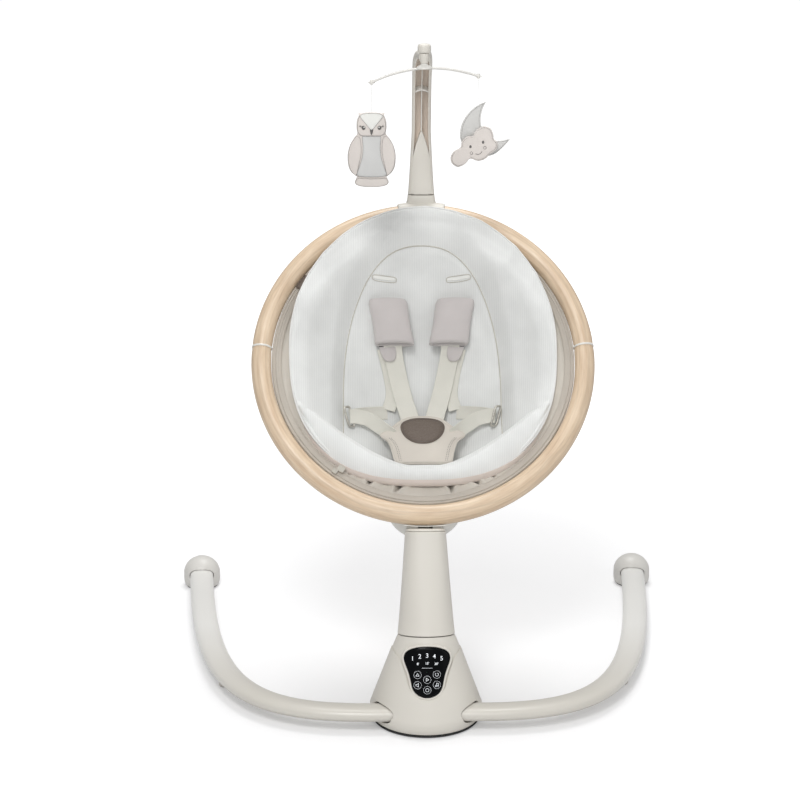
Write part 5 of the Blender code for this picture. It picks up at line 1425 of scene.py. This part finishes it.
# ---------------------------------------------------------------- toy bar
def make_socket():
    top = pi / 2
    rows = [hoop_row(top + radians(a), oval(TUBE_RADIUS + grow, TUBE_RADIUS + grow, 56))
        for a, grow in ((-8.2, 0.0016), (-8.0, 0.0028), (-7.4, 0.0034), (-5, 0.0036), (-2.5, 0.0037),
        (0, 0.0037), (2.5, 0.0037), (5, 0.0036), (7.4, 0.0034), (8.0, 0.0028), (8.2, 0.0016))]
    sleeve = grid("toy_bar_saddle", rows, "cream_plastic", angle=60)
    neck = [[vec(x, BAR_FOOT_Y + y, z) for x, y in oval(hx, hy, 56, 3)]
        for z, hx, hy in ((0.666, 0.03, 0.0125), (0.672, 0.0262, 0.0121), (0.677, 0.0232, 0.0118),
        (0.683, 0.0212, 0.0114), (0.6905, 0.0202, 0.011), (0.6918, 0.0197, 0.0106))]
    neck = grid("neck", neck, "cream_plastic")
    cut(sleeve, neck, operation="UNION")
    bore = grid("bore", tube_rows(radians(78), radians(102), 24, TUBE_RADIUS + 0.0005, 44), "cream_plastic")
    room = turned("room", [(0.2222, -0.03), (0.2222, 0.03)], HOOP_CENTRE, "cream_plastic", HOOP_OUT, 160)
    cut(sleeve, bore, room)
    bevel(sleeve, 0.0007, 2, 42)
    put(sleeve, "seat", "toy_bar_socket")


def bar_point(t):
    p = bezier([(0, y, z) for y, z in BAR_ROUTE], t)
    return vec(0, p.y, p.z)


def bar_frame(t):
    along = (bar_point(min(t + 0.01, 1)) - bar_point(max(t - 0.01, 0))).normalized()
    return along, vec(1, 0, 0).cross(along)


def bar_half(t):
    wide = 0.02 + (0.0143 - 0.02) * min(1, t / 0.3) ** 0.8
    wide *= 1 - 0.5 * max(0, (t - 0.72) / 0.28) ** 1.5
    return wide, 0.011 - 0.0045 * t


def bar_place(t, x, y):
    """A point by the toy bar: x across, y out of its inner face, which looks at the baby."""
    return bar_point(t) + vec(x, 0, 0) + bar_frame(t)[1] * y


def make_toy_bar():
    rows = []
    for i in range(91):
        t = 0.0004 + 0.9996 * i / 90
        rows.append([bar_place(t, x, y) for x, y in oval(*bar_half(t), 52, 3)])
    bar = grid("toy_bar", rows, "cream_plastic", angle=55)

    def channel_size(t, hx, hy):
        return hx * (0.8 - 0.1 * smooth_step(0.1, 0.36, t)), 0.0032 - hy + hy * 1.35 * (1
            - smooth_step(0.06, 0.34, t))

    channel = []
    for i in range(55):
        t = 0.03 + 0.9 * i / 54
        hx, hy = bar_half(t)
        hx, deep = channel_size(t, hx, hy)
        corners = ((-hx, hy + 0.004), (hx, hy + 0.004), (hx * 0.93, deep + 0.001), (hx * 0.84, deep),
            (-hx * 0.84, deep), (-hx * 0.93, deep + 0.001))
        channel.append([bar_place(t, x, y) for x, y in corners])
    cut(bar, grid("channel", channel, "cream_plastic"))
    eye = mm((5.2, 902.8), (5.6, 903.6), (6.4, 912), (6.8, 916), (6.6, 916.6))
    cut(bar, turned("eye", eye, SPINDLE, "cream_plastic", sides=48), operation="UNION")
    peg = grid("peg", [[vec(x, BAR_FOOT_Y + y, z) for x, y in oval(k * 0.0108, k * 0.0058, 32, 6)]
        for z, k in ((0.6797, 0.9), (0.681, 1.0), (0.696, 1.0))], "cream_plastic")
    cut(bar, peg, operation="UNION")
    bevel(bar, 0.0006, 2, 45)
    put(bar, "toy_bar", "toy_bar_arch")
    # The closed lower face: an insert that ends in a pointed arch.
    rows = []
    for i in range(50):
        t = 0.006 + 0.309 * i / 49
        hx, hy = bar_half(t)
        hx, low = channel_size(t, hx, hy)
        hx = max(0.0003, (hx - 0.0004) * (1 - max(0.0, (t - 0.17) / 0.145) ** 2.0))
        top, low = hy - 0.0002, low + 0.0002
        rows.append([bar_place(t, x, y) for x, y in ((-hx, low), (hx, low), (hx, top - 0.0006),
            (hx * 0.94, top), (0, top + 0.0003), (-hx * 0.94, top), (-hx, top - 0.0006))])
    put(grid("toy_bar_insert", rows, "cream_plastic", angle=40), "toy_bar")
    rows = []
    for i in range(40):
        t = 0.312 + 0.608 * i / 39
        _, hy = bar_half(t)
        rows.append([bar_place(t, x, y) for x, y in ((-0.0008, 0.0026 - hy), (0.0008, 0.0026 - hy),
            (0.0006, hy - 0.0022), (-0.0006, hy - 0.0022))])
    put(grid("toy_bar_spine", rows, "pale_plastic", angle=30), "toy_bar")
    # A lining in a warmer, slightly darker tint of the bar's plastic: painted shade inside the channel.
    rows = []
    for i in range(50):
        t = 0.2 + 0.725 * i / 49
        hx, hy = bar_half(t)
        hx, deep = channel_size(t, hx, hy)
        hx, deep = hx - 0.0002, deep + 0.0002
        wall = hy - 0.002
        outer = [(-hx, wall), (-hx, deep + 0.001), (-hx * 0.84, deep), (hx * 0.84, deep), (hx, deep + 0.001),
            (hx, wall)]
        inner = [(x * 0.975, max(y, deep + 0.0002)) for x, y in reversed(outer)]
        rows.append([bar_place(t, x, y) for x, y in outer + inner])
    put(grid("toy_bar_shaded_lining", rows, "channel_shade_plastic", angle=40), "toy_bar")
    for number, t in enumerate((0.507, 0.9)):
        hx, hy = bar_half(t)
        rows = []
        for d in (-0.0045, 0.0045):
            row = []
            for j in range(13):
                x = hx * 0.7 * (-1 + j / 6)
                row.append(bar_place(t + d + 0.028 * (1 - (x / hx) ** 2), x, hy - 0.0028))
            for j in range(12, -1, -1):
                x = hx * 0.7 * (-1 + j / 6)
                row.append(bar_place(t + d + 0.028 * (1 - (x / hx) ** 2), x, 0.0027 - hy))
            rows.append(row)
        put(grid(f"toy_bar_rib_{number + 1}", rows, "pale_plastic", angle=30), "toy_bar")


# ---------------------------------------------------------------- mobile and toys
def mobile_point(x):
    sag = -0.015 * (x / MOBILE_REACH) ** 2
    turn = Matrix.Rotation(-MOBILE_LEAN, 3, "Y")
    return SPINDLE + vec(0, 0, ROD_Z) + turn @ vec(x, 0, sag)


def make_mobile():
    knob = mm((0.4, 929.6), (4.8, 929.5), (7.6, 928.8), (8.9, 927.2), (9.3, 925.2), (9.3, 919), (8.8, 917.8),
        (7.8, 917.4), (3, 917.2), (3, 903.4), (0.4, 903.2))
    put(turned("mobile_cap", knob[::-1], SPINDLE, "cream_plastic", sides=56), "mobile", "mobile_knob")
    line = [mobile_point(-MOBILE_REACH + 2 * MOBILE_REACH * i / 60) for i in range(61)]
    put(grid("mobile_beam", swept(line, oval(0.0028, 0.0017, 20, 2.6)), "cap_plastic"), "mobile",
        "mobile_rod")
    bell = [(0.0004, ROD_Z - 0.0008), (0.0102, ROD_Z - 0.0008), (0.0111, ROD_Z - 0.0002),
        (0.0109, ROD_Z + 0.0012), (0.0092, ROD_Z + 0.0028), (0.0066, ROD_Z + 0.0042), (0.0048, ROD_Z + 0.006),
        (0.0042, ROD_Z + 0.0074), (0.0004, ROD_Z + 0.0074)]
    put(turned("mobile_bell", bell, SPINDLE, "pale_plastic", sides=56), "mobile")
    for side, word in SIDES:
        tip = mobile_point(side * (MOBILE_REACH + 0.001))
        clip = mm((0.4, -3.4), (1.9, -3.1), (2.6, -1.8), (3.1, -0.6), (3.1, 1), (2.3, 2), (2.1, 3.3),
            (0.4, 3.5))
        put(turned("mobile_clip_" + word, clip, tip, "pale_plastic", sides=28), "mobile")
        arm = grid("mobile_clip_bar_" + word,
            swept([tip + vec(-0.0052, 0, 0.0004), tip, tip + vec(0.0052, 0, -0.0004)],
            oval(0.0012, 0.0008, 12)), "pale_plastic")
        put(arm, "mobile")


def toy_top(side):
    return mobile_point(side * (MOBILE_REACH + 0.001)) + vec(0, 0, -0.0034)


def make_thread(name, body, node, top, length):
    curve = bpy.data.curves.new(name, "CURVE")
    curve.dimensions = "3D"
    curve.bevel_depth = 0.0004
    curve.bevel_resolution = 3
    curve.use_fill_caps = True
    spline = curve.splines.new("POLY")
    spline.points.add(15)
    for i, point in enumerate(spline.points):
        point.co = (*(top + TO_ROW + vec(0, 0, -length * i / 15)), 1)
    curve.materials.append(MATERIALS["thread"])
    made = added(name, curve)
    put(made, body, node)


def plush(name, body, at, outline, thickness, material, front=0.0, nodes=()):
    """A flat stuffed shape in the XZ plane: outline in (u, v) metres from at, crowned on both faces."""
    points = [vec(u, v, 0) for u, v in outline]
    line = smooth_line(points + points[:1], 3)[:-1]
    cu = sum(p.x for p in line) / len(line)
    cv = sum(p.y for p in line) / len(line)
    rows = []
    for k, depth in ((0.04, 1.0), (0.3, 0.98), (0.55, 0.93), (0.75, 0.85), (0.88, 0.72), (0.96, 0.48),
            (1.0, 0.12), (1.0, -0.12), (0.96, -0.48), (0.88, -0.72), (0.75, -0.85), (0.55, -0.93),
            (0.3, -0.98), (0.04, -1.0)):
        w = front + thickness / 2 * depth
        rows.append([at + vec(cu + (p.x - cu) * k, -w, cv + (p.y - cv) * k) for p in line])
    toy = grid(name, rows, material, angle=80)
    put(toy, body, *nodes)
    return toy, line


def on_plush(at, points, w, steps=4, closed=False):
    pts = [vec(u, v, 0) for u, v in points]
    line = smooth_line(pts + pts[:1], steps) if closed else smooth_line(pts, steps)
    return [at + vec(p.x, -w, p.y) for p in line]


def inset_line(line, depth):
    """A closed outline moved inwards, whichever way round it runs."""
    area = sum(a.x * b.y - b.x * a.y for a, b in zip(line, line[1:] + line[:1]))
    sign = 1 if area > 0 else -1
    moved = []
    for i, p in enumerate(line):
        along = (line[(i + 1) % len(line)] - line[i - 1]).normalized()
        moved.append(vec(p.x - along.y * depth * sign, p.y + along.x * depth * sign, 0))
    return moved


def mirrored(points):
    return list(points) + [(-u, v) for u, v in reversed(points)]


def make_owl():
    at = toy_top(-1) + vec(0, 0, -0.038)
    body = mm((0, -0.2), (8, -0.4), (14, -1.6), (18.6, -0.6), (17.8, -4.5), (20.6, -11), (21.3, -22),
        (20.2, -30), (24.5, -35.5), (30.5, -46), (34, -60), (33, -76), (28.5, -85), (22.5, -90),
        (20.6, -92.3), (24.2, -98), (21.5, -103), (12, -105.6), (0, -106.2))
    body = body + [(-u, v) for u, v in body[-2:0:-1]]
    toy, _ = plush("owl_body", "owl_toy", at, body, 0.0088, "toy_blush", nodes=("owl",))
    front = 0.0044
    patches = (("owl_belly", mirrored(mm((0, -33.5), (9, -33.2), (13.0, -34.5), (12.2, -48), (13.2, -62),
        (17.2, -76), (21.0, -88), (12, -90.6), (0, -91)))[:-1], "toy_belly", 0.0016, 0.0004),
        ("owl_head", mirrored(mm((0, -0.8), (8, -1.0), (14.5, -3.0), (18.4, -9), (19.8, -20), (18.6, -28.5),
        (14, -32.2), (6, -33.0), (0, -32.6)))[:-1], "toy_blush", 0.0018, 0.0005),
        ("owl_brow", mirrored(mm((0, -1.0), (8, -1.2), (14.0, -3.0), (16.2, -5.4), (9, -14.5), (2.0, -23.2),
        (0, -24.6)))[:-1], "toy_white", 0.0014, 0.0012),
        ("owl_foot", mirrored(mm((0, -93.6), (12, -93.4), (19.8, -93.0), (23.0, -98), (20.8, -102.2),
        (11, -104.6), (0, -105.2)))[:-1], "toy_blush", 0.0016, 0.0004))
    for name, outline, material, thickness, lift in patches:
        outline = [p for i, p in enumerate(outline) if i == 0 or p != outline[i - 1]]
        plush(name, "owl_toy", at, outline, thickness, material, front=front + lift - thickness / 2 + 0.0002)
        edge = on_plush(at, outline, front + lift + 0.0003, 4, True)
        stitches(name + "_stitch", edge, "owl_toy", "stitch", 0.0014, 0.0003)
    for side, word in SIDES:
        wing = mm((side * 21.6, -33), (side * 25.0, -37.5), (side * 30.6, -47), (side * 33.0, -61),
            (side * 31.8, -75), (side * 27.5, -84), (side * 22.0, -88.5), (side * 18.5, -75),
            (side * 15.4, -62), (side * 14.6, -50), (side * 16.4, -36))
        plush("owl_wing_" + word, "owl_toy", at, wing, 0.0016, "toy_blush", front=front - 0.0004)
        stitches(f"owl_wing_stitch_{word}", on_plush(at, wing, front + 0.0007, 4, True), "owl_toy", "stitch",
            0.0014, 0.0003)
        eye = round_at(side * 0.0112, -0.0214, 0.0027, 0.0029, 14)
        plush("owl_eye_" + word, "owl_toy", at, eye, 0.0012, "stitch", front=front + 0.0009)
        glint = round_at(side * 0.0105, -0.0204, 0.0009, 0.001, 10)
        plush("owl_glint_" + word, "owl_toy", at, glint, 0.0008, "toy_white", front=front + 0.0014)
        for number, (du, dv) in enumerate(((4.2, 2.6), (5.2, 0.8))):
            lash = on_plush(at, mm((side * 13.0, -20.6), (side * (13.0 + du * 0.6), -20.0 + dv * 0.5),
                (side * (12.2 + du), -20.2 + dv)), front + 0.0012)
            put(rod(f"owl_lash_{number + 1}_{word}", lash, 0.0003, "stitch", sides=6), "owl_toy")
    beak = mm((-2.3, -23.6), (0, -24.0), (2.3, -23.6), (1.6, -28.0), (0, -31.4), (-1.6, -28.0))
    plush("owl_beak", "owl_toy", at, beak, 0.0016, "stitch", front=front + 0.0014)


def make_moon():
    at = toy_top(1) + vec(0, 0, -0.0312)
    moon = mm((11, -1), (3, -4.2), (-5, -9.5), (-11.5, -15.5), (-17, -23), (-21, -31), (-23.4, -40),
        (-24, -52), (-20.5, -61), (-13, -70), (-3.5, -75.6), (6, -78), (15, -78), (23.5, -75.5), (31, -70),
        (38.5, -62.5), (45, -54), (36.5, -55.2), (28, -56), (21, -54.6), (14, -50.5), (7, -43), (3.9, -34),
        (3.2, -24), (4.8, -14.5), (7.6, -7))
    rows = []
    line = smooth_line([vec(u, v, 0) for u, v in moon] + [Vector((*moon[0], 0))], 2)[:-1]
    for depth, inset in mm((0.6, 1), (1.2, 0.3), (3, 0), (4.8, 0.3), (5.4, 1)):
        ring = []
        for i, p in enumerate(line):
            d = (line[(i + 1) % len(line)] - line[i - 1]).normalized()
            ring.append(at + vec(p.x + d.y * inset, depth, p.y + d.x * inset))
        rows.append(ring)
    toy = grid("moon_crescent", rows, "toy_grey", angle=80)
    put(toy, "moon_toy", "moon")
    rim = [at + vec(p.x, 0.0005, p.y) for p in inset_line(line, 0.0015)]
    stitches("moon_stitch", rim + rim[:1], "moon_toy", "stitch", 0.0015, 0.00034)
    cloud = mm((3.5, -36.4), (9.5, -34.6), (18, -38), (21.8, -46), (22.6, -52.2), (27.7, -58), (26.8, -67),
        (18.5, -73.2), (10.4, -81.3), (0, -84), (-10.5, -80.6), (-17.3, -88.0), (-27.7, -92.6),
        (-36.3, -87.4), (-38.4, -78.7), (-33.7, -70), (-24.4, -64.5), (-22.6, -56), (-15.6, -49.3),
        (-7, -48.4), (-3.6, -41.5))
    toy, line = plush("moon_cloud", "moon_toy", at, cloud, 0.0058, "toy_blush", front=0.0031,
        nodes=("cloud",))
    ring = [at + vec(p.x, -0.005, p.y) for p in inset_line(line, 0.002)]
    stitches("moon_cloud_stitch", ring + ring[:1], "moon_toy", "stitch", 0.0015, 0.00036)
    for word, u, v in (("left", -10.4, -63.3), ("right", 7.4, -57.0)):
        eye = round_at(u / 1000, v / 1000, 0.0017, 0.0022, 12)
        plush("moon_eye_" + word, "moon_toy", at, eye, 0.0012, "stitch", front=0.0058)
    for word, u, v in (("left", -9.0, -72.4), ("right", 10.0, -64.9)):
        ring = [at + vec(x, -0.006, z) for x, z in round_at(u / 1000, v / 1000, 0.0019, 0.0019, 20)]
        put(rod("moon_cheek_" + word, ring, 0.00028, "stitch", up=(0, 1, 0), sides=6, closed=True),
            "moon_toy")
    smile = on_plush(at, mm((-3.5, -73.4), (1.0, -74.2), (4.2, -72.4), (6.2, -69.6)), 0.0062, 6)
    put(rod("moon_smile", smile, 0.00028, "stitch", up=(0, 1, 0), sides=6), "moon_toy")


# ---------------------------------------------------------------- carried-over CAD nodes
def repaint():
    kept = {"control_board": "circuit_board", "lower_bearing_block": "cream_plastic",
        "upper_bearing_plate": "cream_plastic", "lower_bush": "bearing_plastic",
        "upper_bush": "bearing_plastic", "drive_coil": "copper_coil", "speaker": "rubber",
        "swing_shaft": "steel", "magnet_arm": "cream_plastic", "drive_magnet": "steel",
        "pivot_tongue": "steel", "recline_pin": "steel", "harness_buckle": "rubber",
        "crotch_strap": "webbing"}
    for name, material in kept.items():
        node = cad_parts[name]
        for slot in node.material_slots:
            slot.material = MATERIALS[material]


# ---------------------------------------------------------------- stage
def make_stage():
    floor = bpy.data.meshes.new("floor")
    floor.from_pydata([(-8, -8, 0), (8, -8, 0), (8, 8, 0), (-8, 8, 0)], [], [(0, 1, 2, 3)])
    s = Shader("floor", (226, 226, 227), 0.9)
    s.tint(s.noise(s.place(), 0.4, 1), 0.3, 0.7, (225, 225, 226), (227, 227, 228))
    s.main.inputs["Emission Color"].default_value = (1, 1, 1, 1)
    # The floor's own light is for the camera only and grows with distance,
    # so that shadows near the swing stay.
    far = s.node("MapRange")
    for label, value in (("From Min", 0.35), ("From Max", 2.4), ("To Min", 0.235), ("To Max", 0.85)):
        far.inputs[label].default_value = value
    length = s.node("VectorMath", operation="LENGTH")
    s.link(s.place(), length.inputs[0])
    s.link(length.outputs["Value"], far.inputs["Value"])
    s.link(s.math("MULTIPLY", far.outputs["Result"], s.node("LightPath").outputs["Is Camera Ray"]),
        s.main.inputs["Emission Strength"])
    floor.materials.append(s.material)
    floor = added("floor", floor)
    floor.location.z = -0.0002

    world = bpy.data.worlds.new("studio")
    bpy.context.scene.world = world
    world.use_nodes = True
    nodes, links = world.node_tree.nodes, world.node_tree.links
    seen, mix = nodes.new("ShaderNodeLightPath"), nodes.new("ShaderNodeMix")
    mix.inputs[2].default_value, mix.inputs[3].default_value = 0.4, 1.02
    links.new(seen.outputs["Is Camera Ray"], mix.inputs[0])
    links.new(mix.outputs[0], nodes["Background"].inputs["Strength"])
    nodes["Background"].inputs["Color"].default_value = (1, 1, 1, 1)

    centre = vec(0, -0.05, 0.45)
    for name, at, power, size in (("key", (-0.5, -2.2, 2.8), 35, 0.9), ("fill", (2.2, -1.9, 1.5), 8, 2.2),
            ("front", (-0.2, -2.9, 1.7), 17, 1.6), ("top", (0.05, 0.9, 3.0), 41, 1.4)):
        light = bpy.data.lights.new(name, "AREA")
        light.energy, light.size = power, size
        lamp = added(name, light)
        lamp.location = at
        lamp.rotation_euler = (centre - Vector(at)).to_track_quat("-Z", "Y").to_euler()

    camera = bpy.data.cameras.new("camera")
    camera.lens, camera.sensor_width = 90, 36
    eye = added("camera", camera)
    eye.location = vec(-0.0775, -2.6266, 1.1958) + TO_ROW
    eye.rotation_euler = (radians(90 - 15.5), 0, -0.01547)
    bpy.context.scene.camera = eye
    bpy.context.scene.view_settings.view_transform = "Standard"


make_materials()
make_stage()
make_base()
make_hub()
make_post()
make_pivot()
make_hoop()
make_saddle()
make_sling()
make_liner()
make_lip()
make_harness()
make_socket()
make_toy_bar()
make_mobile()
make_thread("owl_string", "owl_toy", "owl_thread", toy_top(-1) + vec(0, 0, -0.0005), 0.037)
make_thread("moon_string", "moon_toy", "moon_thread", toy_top(1) + vec(0, 0, -0.0005), 0.031)
make_owl()
make_moon()
repaint()

bpy.context.view_layer.update()
